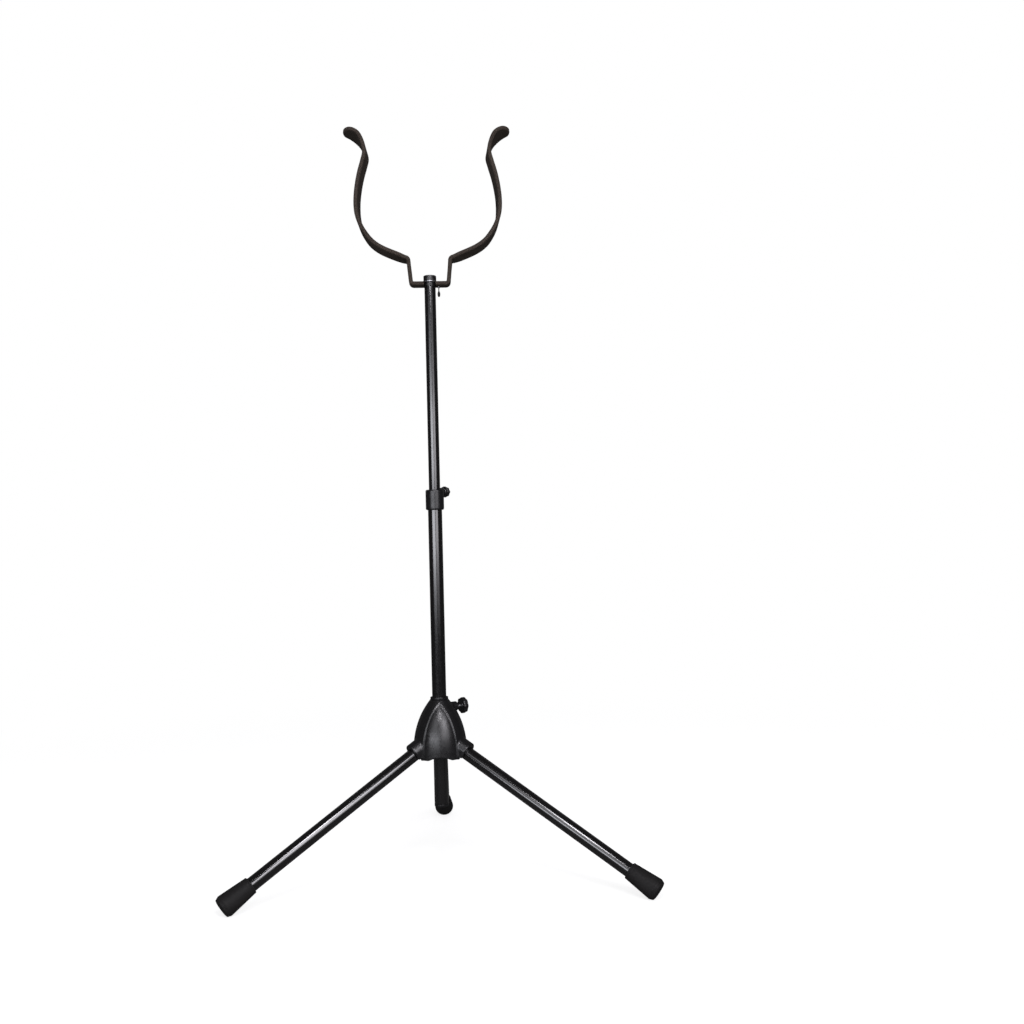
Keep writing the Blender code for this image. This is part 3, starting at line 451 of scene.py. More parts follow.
def cap_piece(line):
    """The mast's cap: a slightly domed head with a rounded rim, on its stem."""
    low, high, _, outer = measured("mast_top_cap", line)
    stem = 5.0 * MM
    under = high - 7.9 * MM
    corners = ((0.0, high, 0.0), (0.55 * outer, high - 0.12 * MM, 6 * MM), (outer, high - 0.5 * MM, 1.5 * MM),
               (outer, under, 0.5 * MM), (stem, under, 0.2 * MM), (stem, low, 0.8 * MM), (0.0, low, 0.0))
    piece("mast_top_cap", lathe(corners), line)


def seat_piece(line):
    """The strap's seat: a neck in the slot and a shank in the tube."""
    low, high, inner, outer = measured("strap_seat", line)
    shank = measured("upper_tube", line)[2] - 0.3 * MM
    neck_bottom = measured("upper_tube", line)[1] + 0.3 * MM
    corners = ((inner, high, 0.2 * MM), (outer, high, 0.3 * MM), (outer, neck_bottom, 0.2 * MM),
               (shank, neck_bottom, 0.1 * MM), (shank, low, 0.8 * MM), (inner, low, 0.2 * MM))
    piece("strap_seat", lathe(corners), line)


def mast_plug_piece(line):
    """The plug of the outer tube's lower end, with a rounded button outside."""
    low, high, _, outer = measured("lower_tube_plug", line)
    tube_low, _, inner, _ = measured("lower_tube", line)
    shank = inner - 0.3 * MM
    head = tube_low - 0.3 * MM
    corners = ((0.0, high, 0.0), (shank, high, 0.8 * MM), (shank, head, 0.1 * MM), (outer, head, 0.3 * MM),
               (outer, low, 3.4 * MM), (0.0, low, 0.0))
    piece("lower_tube_plug", lathe(corners), line)


def bushing_piece(line):
    low, high, _, outer = measured("guide_bushing", line)
    tube_low, _, inner, _ = measured("upper_tube", line)
    shank = inner - 0.3 * MM
    head = tube_low - 0.3 * MM
    corners = ((0.0, high, 0.0), (shank, high, 0.8 * MM), (shank, head, 0.1 * MM), (outer, head, 0.8 * MM),
               (outer, low, 0.8 * MM), (0.0, low, 0.0))
    piece("guide_bushing", lathe(corners), line)


def pin_piece(number):
    """A plain pin with rounded ends through a leg's fitting."""
    name = "leg_pin_%d" % number
    line = joint_line("leg_%d_fold" % number)
    low, high, _, outer = measured(name, line)
    corners = ((0.0, high, 0.0), (outer, high, 0.5 * MM), (outer, low, 0.5 * MM), (0.0, low, 0.0))
    piece(name, lathe(corners, SMALL_ROUND), line)


def screw_piece(name, line):
    """A screw with a real helical thread and a plain neck where the knob holds it."""
    low, high, _, outer = measured(name, line)
    neck = high - 8 * MM
    work = bmesh.new()
    rings = []
    turns = THREAD_PITCH / THREAD_STEPS
    count = int((high - low) / turns)
    for i in range(count + 1):
        height = low + (high - low) * i / count
        fade = max(0.0, min(1.0, (neck - height) / THREAD_PITCH, (height - low) / THREAD_PITCH))
        ring = []
        for j in range(SMALL_ROUND // 2):
            angle = 4 * math.pi * j / SMALL_ROUND
            phase = (height / THREAD_PITCH - angle / (2 * math.pi)) % 1.0
            reach = outer - THREAD_DEPTH * fade * abs(2 * phase - 1)
            ring.append(work.verts.new((reach * math.cos(angle), reach * math.sin(angle), height)))
        rings.append(ring)
    for a, b in zip(rings, rings[1:]):
        for i, start in enumerate(a):
            j = (i + 1) % len(a)
            work.faces.new((start, a[j], b[j], b[i]))
    work.faces.new(rings[0])
    work.faces.new(rings[-1])
    bmesh.ops.recalc_face_normals(work, faces=work.faces)
    piece(name, work, line, 60.0)


def knob_piece(name, line):
    """A thumb knob: scalloped rim, rounded edges, dished face and a low boss round its screw."""
    low, high, _, outer = measured(name, line)
    bore = 2.3 * MM
    bore_end = high - 1.5 * MM
    boss = 0.46 * outer
    corners = ((0.0, high - KNOB_DISH, 0.0), (0.58 * outer, high - KNOB_DISH, 3 * MM),
               (0.74 * outer, high, 1.6 * MM), (outer, high, KNOB_EDGE), (outer, low + 0.6 * MM, KNOB_EDGE),
               (boss + 0.6 * MM, low + 0.6 * MM, 0.4 * MM), (boss, low, 0.3 * MM), (bore, low, 0.2 * MM),
               (bore, bore_end, 0.0), (0.0, bore_end, 0.0))
    piece(name, lathe(corners, ROUND, KNOB_LOBES, KNOB_SCALLOP), line)


def fitting_piece(number, line):
    """A leg's moulded end: a ball on the pin, a shoulder against the tube and a spigot inside it."""
    name = "leg_fitting_%d" % number
    low, high, _, outer = measured(name, line)
    tube_low, _, inner, _ = measured("leg_tube_%d" % number, line)
    spigot = inner - 0.3 * MM
    shoulder = tube_low - 0.3 * MM
    corners = [(0.0, high, 0.0), (spigot, high, 0.8 * MM), (spigot, shoulder, 0.1 * MM),
               (outer, shoulder, 0.5 * MM)]
    for i in range(1, 16):
        angle = math.radians(90 * i / 16)
        corners.append((outer * math.cos(angle), -outer * math.sin(angle), 0.0))
    corners.append((0.0, low, 0.0))
    piece(name, lathe(corners, SMALL_ROUND), line)


def foot_piece(number, line):
    """A rubber foot: tapered, a bead at its neck, a rounded end, worn flat where it meets the floor."""
    name = "foot_cap_%d" % number
    low, high, _, outer = measured(name, line)
    tube_end = measured("leg_tube_%d" % number, line)[1] + 0.3 * MM
    bore = measured("leg_tube_%d" % number, line)[3] + 0.3 * MM
    neck = FOOT_NECK
    corners = ((0.0, high, 0.0), (outer - 2.2 * MM, high, 1.5 * MM), (outer, high - FOOT_ROUNDING, 5 * MM),
               (neck, low + 3.2 * MM, 0.6 * MM), (neck - 0.5 * MM, low + 2.6 * MM, 0.3 * MM),
               (neck, low + 2.0 * MM, 0.6 * MM), (neck - 0.3 * MM, low, FOOT_BEAD), (bore, low, 0.3 * MM),
               (bore, tube_end, 0.3 * MM), (0.0, tube_end, 0.0))
    work = lathe(corners)
    bmesh.ops.transform(work, matrix=on_line(line), verts=work.verts)
    everything = work.verts[:] + work.edges[:] + work.faces[:]
    cut = bmesh.ops.bisect_plane(work, geom=everything, plane_co=(0, 0, 0), plane_no=(0, 0, 1),
                                 clear_inner=True)
    edges = [item for item in cut["geom_cut"] if isinstance(item, bmesh.types.BMEdge)]
    bmesh.ops.contextual_create(work, geom=edges)
    bmesh.ops.recalc_face_normals(work, faces=work.faces)
    piece(name, work)


def insert_piece(name, line):
    """A brass insert with a chamfered mouth and two grooves round it."""
    low, high, inner, outer = measured(name, line)
    groove = 0.35 * MM
    corners = [(inner, high, 0.2 * MM), (outer, high, 0.3 * MM)]
    for share in (0.7, 0.38):
        middle = low + share * (high - low)
        corners += [(outer, middle + 0.7 * MM, 0.0), (outer - groove, middle + 0.4 * MM, 0.0),
                    (outer - groove, middle - 0.4 * MM, 0.0), (outer, middle - 0.7 * MM, 0.0)]
    corners += [(outer, low, 0.3 * MM), (inner, low, 0.2 * MM)]
    piece(name, lathe(corners, SMALL_ROUND), line)


def stud_and_tag(line):
    """The small stud under the notch and the drop-shaped tag on its stem."""
    across = joint_line("tag_swing")[0]
    drop = (Vector((across.x, across.y, 0.0)), line[1])
    low, high, _, outer = measured("tag_stud", drop)
    corners = ((0.0, high, 0.0), (outer, high, 0.2 * MM), (outer, low + 0.8 * MM, 0.4 * MM),
               (0.65 * outer, low, 0.3 * MM), (0.0, low, 0.0))
    piece("tag_stud", lathe(corners, SMALL_ROUND), drop)
    low, high, _, outer = measured("hanging_tag", drop)
    length = high - low
    stem = 0.37 * outer
    shares = ((0.37, 0.035), (0.37, 0.30), (0.55, 0.36), (0.78, 0.44), (0.94, 0.55), (1.0, 0.66),
              (0.96, 0.76), (0.84, 0.86), (0.62, 0.94), (0.32, 0.985))
    corners = [(0.0, high, 0.0)]
    corners += [(share * outer, high - along * length, 0.4 * stem) for share, along in shares]
    corners.append((0.0, low, 0.0))
    piece("hanging_tag", lathe(corners, SMALL_ROUND), drop)


def united(a, b, soft):
    """The lesser of two distances, with a fillet where the solids meet."""
    share = np.maximum(soft - np.abs(a - b), 0.0) / soft
    return np.minimum(a, b) - share * share * soft / 4


def common(a, b, soft):
    """The distance to what two solids share, with its edges rounded."""
    return -united(-a, -b, soft)


def without(a, b, soft):
    """The distance to one solid outside another, with the new edges rounded."""
    return -united(-a, b, soft)


def in_frame(spots, place, directions):
    """The spots' distances from a place along each of some directions."""
    away = spots - np.array(place)
    return [away @ np.array(direction) for direction in directions]


def dome(radius, height, widest):
    """The distance to the hub's dome of revolution."""
    share = np.clip((height - HUB_BOTTOM) / (HUB_TOP - HUB_BOTTOM), 0.0, 1.0)
    reach = HUB_NECK + (widest - HUB_NECK) * (1 - share ** DOME_POWER)
    slope = (widest - HUB_NECK) * DOME_POWER * share ** (DOME_POWER - 1) / (HUB_TOP - HUB_BOTTOM)
    return (radius - reach) / np.sqrt(1 + slope ** 2)


def leg_frame(number):
    """A leg's pivot and its directions along, across and up."""
    pivot, along = leg_line(number)
    across = Vector((0.0, 0.0, 1.0)).cross(along).normalized()
    return pivot, (along, across, along.cross(across))


def knob_frame(line):
    """A knob's place on the mast's axis and its directions out, across and up."""
    place, out = line
    return place, (out, Vector((0.0, 0.0, 1.0)).cross(out), Vector((0.0, 0.0, 1.0)))


def pin_hole_ends(number):
    """Where a pin's hole starts and ends across its leg: blind on one side, open on the other."""
    pivot, (_, across, _) = leg_frame(number)
    reach = (node_points("leg_pin_%d" % number) - np.array(pivot)) @ np.array(across)
    low, high = float(reach.min()), float(reach.max())
    if high > -low:
        return low - PASS, high + 20 * MM
    return low - 20 * MM, high + PASS


def hub_field(spots):
    """The distance to the hub's shell, less than nothing inside it."""
    axis = mast_line()[0]
    x, y, height = in_frame(spots, axis, ((1, 0, 0), (0, 1, 0), (0, 0, 1)))
    radius = np.hypot(x, y)
    outer = dome(radius, height, CORNER_RADIUS)
    shell = np.maximum(dome(radius, height, PANEL_RADIUS), outer + PANEL_DEPTH)
    legs = []
    for number in (1, 2, 3):
        pivot, directions = leg_frame(number)
        along, across, up = in_frame(spots, pivot, directions)
        flat = Vector((directions[0].x, directions[0].y, 0.0)).normalized()
        forward = in_frame(spots, axis, (flat,))[0]
        housing = common(outer, np.maximum(np.abs(across) - HOUSING_HALF, -forward), 0.9 * MM)
        shell = united(shell, housing, 0.5 * MM)
        pivot_reach = (pivot - axis).dot(flat)
        legs.append((number, along, across, up, forward - pivot_reach))
    shell = common(shell, height - HUB_TOP, 0.5 * MM)
    shell = common(shell, HUB_BOTTOM - height, 1.2 * MM)
    for number, along, across, up, forward in legs:
        back = in_frame(spots, axis, leg_back(number))
        arch_middle = HUB_BOTTOM + ARCH_HEIGHT - ARCH_RADIUS
        arch = np.maximum(np.hypot(back[1], height - arch_middle) - ARCH_RADIUS, ARCH_START - back[0])
        shell = without(shell, arch, 0.8 * MM)
    for number, along, across, up, forward in legs:
        section = np.hypot(across, np.maximum(up - HOOD_RISE, 0.0)) - HOOD_RADIUS
        hood = common(np.maximum(section, -HOOD_SKIRT - up), along - HOOD_END, 2.0 * MM)
        shell = united(shell, np.maximum(hood, -along), 1.6 * MM)
    place, directions = knob_frame(joint_line("hub_knob_turn"))
    out, aside, up = in_frame(spots, place, directions)
    from_screw = np.hypot(aside, up)
    boss = common(np.maximum(from_screw - BOSS_RADIUS, -out), out - BOSS_END, 1.2 * MM)
    shell = united(shell, boss, 1.6 * MM)
    shell = without(shell, radius - HUB_BORE, 0.5 * MM)
    shell = without(shell, np.maximum(from_screw - SCREW_HOLE, -out), 0.3 * MM)
    shell = without(shell, np.maximum(from_screw - INSERT_HOLE, HUB_SEAT_START - out), 0.3 * MM)
    for number, along, across, up, forward in legs:
        bore = np.sqrt(across ** 2 + up ** 2 + np.minimum(along, 0.0) ** 2) - LEG_SPACE
        swept = np.maximum(np.maximum(np.abs(across) - LEG_SPACE, up), -LEG_SPACE - forward)
        shell = without(shell, np.minimum(bore, swept), 0.9 * MM)
        start, end = pin_hole_ends(number)
        hole = np.hypot(along, up) - SCREW_HOLE
        hole = np.maximum(hole, np.maximum(start - across, across - end))
        shell = without(shell, hole, 0.3 * MM)
    return shell


def leg_back(number):
    """Level directions away from a leg, towards the panel behind it, and across that."""
    along = leg_line(number)[1]
    away = -Vector((along.x, along.y, 0.0)).normalized()
    return away, Vector((0.0, 0.0, 1.0)).cross(away)


def collar_field(spots):
    """The distance to the height collar with its lug, less than nothing inside it."""
    axis = mast_line()[0]
    x, y, height = in_frame(spots, axis, ((1, 0, 0), (0, 1, 0), (0, 0, 1)))
    radius = np.hypot(x, y)
    level = np.maximum(height - COLLAR_TOP, COLLAR_BOTTOM - height)
    solid = common(radius - COLLAR_RADIUS, level, 2.6 * MM)
    place, directions = knob_frame(joint_line("height_knob_turn"))
    out, aside, up = in_frame(spots, place, directions)
    share = np.clip((out - LUG_START) / (LUG_END - LUG_START), 0.0, 1.0)
    tall = np.maximum(up - (6.2 - 1.3 * share) * MM, (1.1 * share - 6.1) * MM - up)
    lug = common(tall, np.abs(aside) - LUG_HALF_WIDTH, 3.0 * MM)
    lug = common(lug, np.maximum(out - LUG_END, LUG_START - out), 1.6 * MM)
    solid = united(solid, lug, 1.4 * MM)
    solid = without(solid, radius - COLLAR_NARROW, 0.8 * MM)
    wide = np.maximum(radius - HUB_BORE, height - COLLAR_LEDGE)
    solid = without(solid, wide, 0.5 * MM)
    from_screw = np.hypot(aside, up)
    solid = without(solid, np.maximum(from_screw - SCREW_HOLE, -out), 0.3 * MM)
    return without(solid, np.maximum(from_screw - INSERT_HOLE, COLLAR_SEAT_START - out), 0.3 * MM)


def crossed_cells(inside):
    """The cells of a grid with both inside and outside corners, and their numbers on the grid."""
    nx, ny, nz = (count - 1 for count in inside.shape)
    filled = np.zeros((nx, ny, nz), dtype=np.uint8)
    for i, j, k in CELL_CORNERS:
        filled += inside[i:i + nx, j:j + ny, k:k + nz]
    cells = np.argwhere((filled > 0) & (filled < 8))
    numbers = np.full((nx, ny, nz), -1, dtype=np.int64)
    numbers[tuple(cells.T)] = np.arange(len(cells))
    return cells, numbers


def crossing_middles(values, cells):
    """In each cell, the middle of the places where the cell's edges cross the surface."""
    total = np.zeros((len(cells), 3))
    count = np.zeros(len(cells))
    for start in CELL_CORNERS:
        for axis in range(3):
            if start[axis]:
                continue
            end = list(start)
            end[axis] = 1
            a = values[tuple((cells + start).T)]
            b = values[tuple((cells + end).T)]
            crossed = (a < 0) != (b < 0)
            spot = np.tile(np.array(start, dtype=float), (len(cells), 1))
            spot[crossed, axis] = a[crossed] / (a[crossed] - b[crossed])
            total[crossed] += spot[crossed]
            count += crossed
    return cells + total / count[:, None]


def cell_faces(inside, numbers):
    """A face of four cells' points round each grid edge that crosses the surface."""
    faces = []
    for axis in range(3):
        first = [slice(1, -1)] * 3
        second = [slice(1, -1)] * 3
        first[axis] = slice(0, -1)
        second[axis] = slice(1, None)
        leaves = inside[tuple(first)] & ~inside[tuple(second)]
        enters = ~inside[tuple(first)] & inside[tuple(second)]
        u = np.eye(3, dtype=int)[(axis + 1) % 3]
        v = np.eye(3, dtype=int)[(axis + 2) % 3]
        for edges, order in ((leaves, (0 * u, u, u + v, v)), (enters, (v, u + v, u, 0 * u))):
            base = np.argwhere(edges) + 1
            base[:, axis] -= 1
            faces.append(np.stack([numbers[tuple((base - offset).T)] for offset in order], axis=1))
    return np.concatenate(faces)


def settled(field, points, step):
    """Points moved on to the surface along the field's slope."""
    for _ in range(3):
        value = field(points)
        slope = np.empty_like(points)
        for axis in range(3):
            nudge = np.zeros(3)
            nudge[axis] = 0.02 * MM
            slope[:, axis] = (field(points + nudge) - field(points - nudge)) / (0.04 * MM)
        steep = np.maximum((slope ** 2).sum(axis=1), 0.2)
        move = slope * (value / steep)[:, None]
        points = points - np.clip(move, -step / 3, step / 3)
    return points


def field_piece(name, field, step):
    """A node's fine piece, meshed from a field of distances in and round the node's own box."""
    low, high = (np.array(corner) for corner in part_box(name))
    low = low - 2.5 * step
    axes = [np.arange(a, b + 2.5 * step, step) for a, b in zip(low, high)]
    y, z = np.meshgrid(axes[1], axes[2], indexing="ij")
    layers = []
    for x in axes[0]:
        spots = np.stack([np.full(y.size, x), y.ravel(), z.ravel()], axis=1)
        layers.append(field(spots).reshape(y.shape))
    values = np.stack(layers)
    inside = values < 0
    cells, numbers = crossed_cells(inside)
    points = settled(field, low + step * crossing_middles(values, cells), step)
    mesh = bpy.data.meshes.new(name + "_fine")
    mesh.from_pydata(points.tolist(), [], cell_faces(inside, numbers).tolist())
    mesh.validate()
    obj = bpy.data.objects.new(name + "_fine", mesh)
    bpy.context.scene.collection.objects.link(obj)
    settle(name, obj, 50.0)


def along_curve(points, steps):
    """Points on a curve through the given ones, closer together towards the end of the last span."""
    result = []
    for i, count in enumerate(steps):
        before = points[max(i - 1, 0)]
        start, end = points[i], points[i + 1]
        after = points[min(i + 2, len(points) - 1)]
        for j in range(count):
            t = j / count
            if i == len(steps) - 1:
                t = math.sin(t * math.pi / 2)
            result.append(0.5 * ((2 * start) + (end - before) * t
                                 + (2 * before - 5 * start + 4 * end - after) * t ** 2
                                 + (3 * start - before - 3 * end + after) * t ** 3))
    result.append(points[-1])
    return result


def rounded_corner(before, corner, after):
    """Points of the bend between two straight runs of the strap."""
    incoming = (corner - before).normalized()
    outgoing = (after - corner).normalized()
    reach = BEND_RADIUS * math.tan(incoming.angle(outgoing) / 2)
    start = corner - incoming * reach
    end = corner + outgoing * reach
    points = []
    for i in range(BEND_STEPS + 1):
        t = i / BEND_STEPS
        points.append((1 - t) ** 2 * start + 2 * t * (1 - t) * corner + t ** 2 * end)
    return points


def strap_path():
    """Centre line of the right half of the strap, and how many of its points are the notch's."""
    middle = Vector((0.0, 0.0))
    low = Vector((NOTCH_HALF_BOTTOM, 0.0))
    high = Vector((NOTCH_HALF_TOP, NOTCH_DEPTH))
    arm = [Vector((x * MM, z * MM - STRAP_THICKNESS / 2)) for x, z in ARM_POINTS]
    low_bend = rounded_corner(middle, low, high)
    high_bend = rounded_corner(low, high, arm[0])
    points = [middle.lerp(low_bend[0], i / 6) for i in range(6)] + low_bend
    points += [low_bend[-1].lerp(high_bend[0], i / 12) for i in range(1, 12)] + high_bend
    notch_count = len(points)
    onward = (arm[0] - points[-1]).normalized()
    arm.insert(0, points[-1] + onward * SLEEVE_JOINT)
    return points + along_curve(arm, [ARM_STEPS] * (len(arm) - 2) + [TIP_STEPS]), notch_count


def part_way(value, start, length):
    return max(0.0, min(1.0, (value - start) / length))


def round_end(left, length):
    """The share of its width that a round end keeps at a distance from its tip."""
    return math.sqrt(1 - (1 - part_way(left, 0.0, length)) ** 2)


def strap_twist(length, blend, tip):
    """The strap's turn about its own line: one way on the low arm and the tip, the other between."""
    middle = part_way(length, TWIST_START, TWIST_LENGTH)
    middle = middle * middle * (3 - 2 * middle)
    return blend * (LOW_TWIST + (MIDDLE_TWIST - LOW_TWIST) * middle) * (1 - tip) + TIP_TWIST * tip


def strap_section(half_width, half_thickness):
    """Points (across, through) of a flat section with rounded edges, once round."""
    edge = min(0.8 * half_thickness, 0.6 * half_width)
    flat = half_width - edge
    quarter = [(flat * share, half_thickness) for share in (0.15, 0.45, 0.75)]
    for i in range(7):
        angle = math.pi / 2 * i / 6
        quarter.append((flat + edge * math.sin(angle), half_thickness * (0.25 + 0.75 * math.cos(angle))))
    upper = [(-a, t) for a, t in reversed(quarter)] + quarter
    return upper + [(-a, -t) for a, t in upper]


def strap_rings(path, thickness, narrower, side):
    """Rings of the strap's section along its path, and each one's distance from the tip."""
    axis = mast_line()[0]
    lengths = [0.0]
    for a, b in zip(path, path[1:]):
        lengths.append(lengths[-1] + (b - a).length)
    total = lengths[-1]
    rings = []
    for i, point in enumerate(path):
        along = (path[min(i + 1, len(path) - 1)] - path[max(i - 1, 0)]).normalized()
        out = Vector((along.y, -along.x))
        widening = part_way(lengths[i], NOTCH_HALF_BOTTOM + NOTCH_DEPTH / 2, WIDENING_LENGTH)
        blend = widening * widening * (3 - 2 * widening)
        tip = part_way(lengths[i], total - TIP_LENGTH, TIP_LENGTH - TIP_ROUNDING)
        width = NOTCH_WIDTH + (ARM_WIDTH - NOTCH_WIDTH) * blend + (TIP_WIDTH - ARM_WIDTH) * tip
        left = max(total - lengths[i], 0.002 * MM)
        half_width = width / 2 * round_end(left, TIP_ROUNDING) - narrower
        half_thickness = thickness / 2 * round_end(left, TIP_EDGE)
        twist = strap_twist(lengths[i], blend, tip)
        ring = []
        for across, through in strap_section(half_width, half_thickness):
            depth = across * math.cos(twist) - through * math.sin(twist)
            offset = across * math.sin(twist) + through * math.cos(twist)
            x = point.x + out.x * offset
            z = point.y + out.y * offset
            ring.append((axis.x + side * x, axis.y + depth, STRAP_BOTTOM + STRAP_THICKNESS / 2 + z))
        rings.append((left, ring))
    return rings


def skin(work, rings):
    """Faces between neighbouring rings; gives the first and last ring's vertices."""
    loops = [[work.verts.new(spot) for spot in ring] for _, ring in rings]
    for a, b in zip(loops, loops[1:]):
        for i, start in enumerate(a):
            j = (i + 1) % len(a)
            work.faces.new((start, a[j], b[j], b[i]))
    return loops[0], loops[-1]


def joined_ring(work, outer, inner):
    for i, start in enumerate(outer):
        j = (i + 1) % len(outer)
        work.faces.new((start, outer[j], inner[j], inner[i]))


def arm_sleeve_piece(name, side):
    """The rubber on one arm: open at the notch, closed and rounded at the tip."""
    path, notch_count = strap_path()
    work = bmesh.new()
    outer = strap_rings(path, STRAP_THICKNESS, 0.0, side)[notch_count:]
    inner = strap_rings(path, STRIP_SPACE, SLEEVE_WALL, side)[notch_count:]
    inner = [ring for ring in inner if ring[0] > TIP_EDGE]
    start, tip = skin(work, outer)
    inner_start, inner_end = skin(work, inner)
    work.faces.new(tip)
    work.faces.new(inner_end)
    joined_ring(work, start, inner_start)
    bmesh.ops.recalc_face_normals(work, faces=work.faces)
    piece(name, work, smooth=50.0)


def seat_slot():
    """The slot in the notch that takes the seat's neck, open at the front."""
    axis = mast_line()[0]
    outline = [(SEAT_SPACE, -NOTCH_WIDTH)]
    for i in range(33):
        angle = math.pi * i / 32
        outline.append((SEAT_SPACE * math.cos(angle), SEAT_SPACE * math.sin(angle)))
    outline.append((-SEAT_SPACE, -NOTCH_WIDTH))
    work = bmesh.new()
    levels = []
    for height in (STRAP_BOTTOM - 8 * MM, STRAP_BOTTOM + 12 * MM):
        levels.append([work.verts.new((axis.x + x, axis.y + y, height)) for x, y in outline])
    joined_ring(work, *levels)
    for level in levels:
        work.faces.new(level)
    bmesh.ops.recalc_face_normals(work, faces=work.faces)
    mesh = bpy.data.meshes.new("seat_slot")
    work.to_mesh(mesh)
    work.free()
    return bpy.data.objects.new("seat_slot", mesh)


def notch_sleeve_piece():
    """The rubber round the notch, open at both ends and slotted for the seat."""
    path, notch_count = strap_path()
    work = bmesh.new()
    ends = []
    for thickness, narrower in ((STRAP_THICKNESS, 0.0), (STRIP_SPACE, SLEEVE_WALL)):
        right = strap_rings(path, thickness, narrower, 1)[:notch_count]
        left = strap_rings(path, thickness, narrower, -1)[1:notch_count]
        ends.append(skin(work, list(reversed(left)) + right))
    for outer, inner in zip(*ends):
        joined_ring(work, outer, inner)
    bmesh.ops.recalc_face_normals(work, faces=work.faces)
    mesh = bpy.data.meshes.new("notch_work")
    work.to_mesh(mesh)
    work.free()
    obj = bpy.data.objects.new("notch_work", mesh)
    slot = seat_slot()
    for item in (obj, slot):
        bpy.context.scene.collection.objects.link(item)
    cut = obj.modifiers.new("slot", "BOOLEAN")
    cut.operation = "DIFFERENCE"
    cut.solver = "EXACT"
    cut.object = slot
    bpy.context.view_layer.update()
    graph = bpy.context.evaluated_depsgraph_get()
    work = bmesh.new()
    work.from_mesh(obj.evaluated_get(graph).to_mesh())
    for item in (obj, slot):
        bpy.data.objects.remove(item, do_unlink=True)
    piece("notch_sleeve", work, smooth=50.0)


def make_swept_pieces():
    arm_sleeve_piece("arm_sleeve_right", 1)
    arm_sleeve_piece("arm_sleeve_left", -1)
    notch_sleeve_piece()
    field_piece("hub_shell", hub_field, HUB_STEP)
    field_piece("height_collar", collar_field, COLLAR_STEP)


def make_turned_pieces():
    mast = mast_line()
    tube_piece("upper_tube", mast)
    tube_piece("lower_tube", mast)
    ring_piece("hub_top_ring", mast, 0.5 * MM)
    ring_piece("cradle_washer", mast, 0.25 * MM)
    cap_piece(mast)
    seat_piece(mast)
    mast_plug_piece(mast)
    bushing_piece(mast)
    height = joint_line("height_knob_turn")
    hub = joint_line("hub_knob_turn")
    knob_piece("height_knob", height)
    knob_piece("hub_knob", hub)
    screw_piece("height_screw", height)
    screw_piece("hub_screw", hub)
    insert_piece("collar_insert", height)
    insert_piece("hub_insert", hub)
    for number in (1, 2, 3):
        line = leg_line(number)
        tube_piece("leg_tube_%d" % number, line)
        fitting_piece(number, line)
        foot_piece(number, line)
        pin_piece(number)
    stud_and_tag(mast)


def larger(tree, a, b):
    made = node(tree, "ShaderNodeMath", operation="MAXIMUM")
    link(tree, a, made.inputs[0])
    link(tree, b, made.inputs[1])
    return made.outputs[0]


def scaled(tree, value, factor):
    made = node(tree, "ShaderNodeMath", operation="MULTIPLY")
    link(tree, value, made.inputs[0])
    made.inputs[1].default_value = factor
    return made.outputs[0]


def light_path_shows(tree):
    """1 for rays straight to the eye or through clear matter, and 1 for rays in a gloss."""
    path = tree.nodes.new("ShaderNodeLightPath")
    straight = larger(tree, path.outputs["Is Camera Ray"], path.outputs["Is Transmission Ray"])
    return straight, path.outputs["Is Glossy Ray"]


def shown(tree, in_gloss):
    """1 to the eye, and a share of that in a gloss."""
    straight, mirror = light_path_shows(tree)
    return larger(tree, straight, scaled(tree, mirror, in_gloss))


def make_floor():
    """A round floor, white to the eye, that fades into the white wall and keeps the shadow."""
    mesh = bpy.data.meshes.new("studio_floor")
    work = bmesh.new()
    bmesh.ops.create_circle(work, cap_ends=True, segments=128, radius=FLOOR_RADIUS)
    work.to_mesh(mesh)
    work.free()
    floor = bpy.data.objects.new("studio_floor", mesh)
    bpy.context.scene.collection.objects.link(floor)
    mat = bpy.data.materials.new("pale floor")
    mat.use_nodes = True
    tree = mat.node_tree
    tree.nodes.remove(tree.nodes["Principled BSDF"])
    output = tree.nodes["Material Output"]
    place = node(tree, "ShaderNodeTexCoord")
    reach = node(tree, "ShaderNodeVectorMath", operation="LENGTH")
    link(tree, place.outputs["Object"], reach.inputs[0])
    fade = node(tree, "ShaderNodeMapRange", interpolation_type="SMOOTHSTEP", From_Min=FLOOR_CLEAR,
                From_Max=FLOOR_FADE)
    link(tree, reach.outputs["Value"], fade.inputs["Value"])
    visible = shown(tree, FLOOR_IN_GLOSS)
    body = node(tree, "ShaderNodeBsdfDiffuse")
    tone = node(tree, "ShaderNodeMapRange", To_Min=FLOOR_BODY, To_Max=FLOOR_BODY_IN_GLOSS)
    link(tree, light_path_shows(tree)[1], tone.inputs["Value"])
    link(tree, tone.outputs["Result"], body.inputs["Color"])
    glow = node(tree, "ShaderNodeEmission")
    link(tree, scaled(tree, visible, FLOOR_GLOW), glow.inputs["Strength"])
    near = tree.nodes.new("ShaderNodeAddShader")
    link(tree, body.outputs[0], near.inputs[0])
    link(tree, glow.outputs[0], near.inputs[1])
    far = node(tree, "ShaderNodeEmission")
    straight, mirror = light_path_shows(tree)
    unlit = node(tree, "ShaderNodeMapRange", To_Min=AMBIENT, To_Max=DIM_WALL)
    link(tree, mirror, unlit.inputs["Value"])
    link(tree, larger(tree, unlit.outputs["Result"], straight), far.inputs["Strength"])
    mix = tree.nodes.new("ShaderNodeMixShader")
    link(tree, fade.outputs["Result"], mix.inputs[0])
    link(tree, near.outputs[0], mix.inputs[1])
    link(tree, far.outputs[0], mix.inputs[2])
    link(tree, mix.outputs[0], output.inputs["Surface"])
    mesh.materials.append(mat)


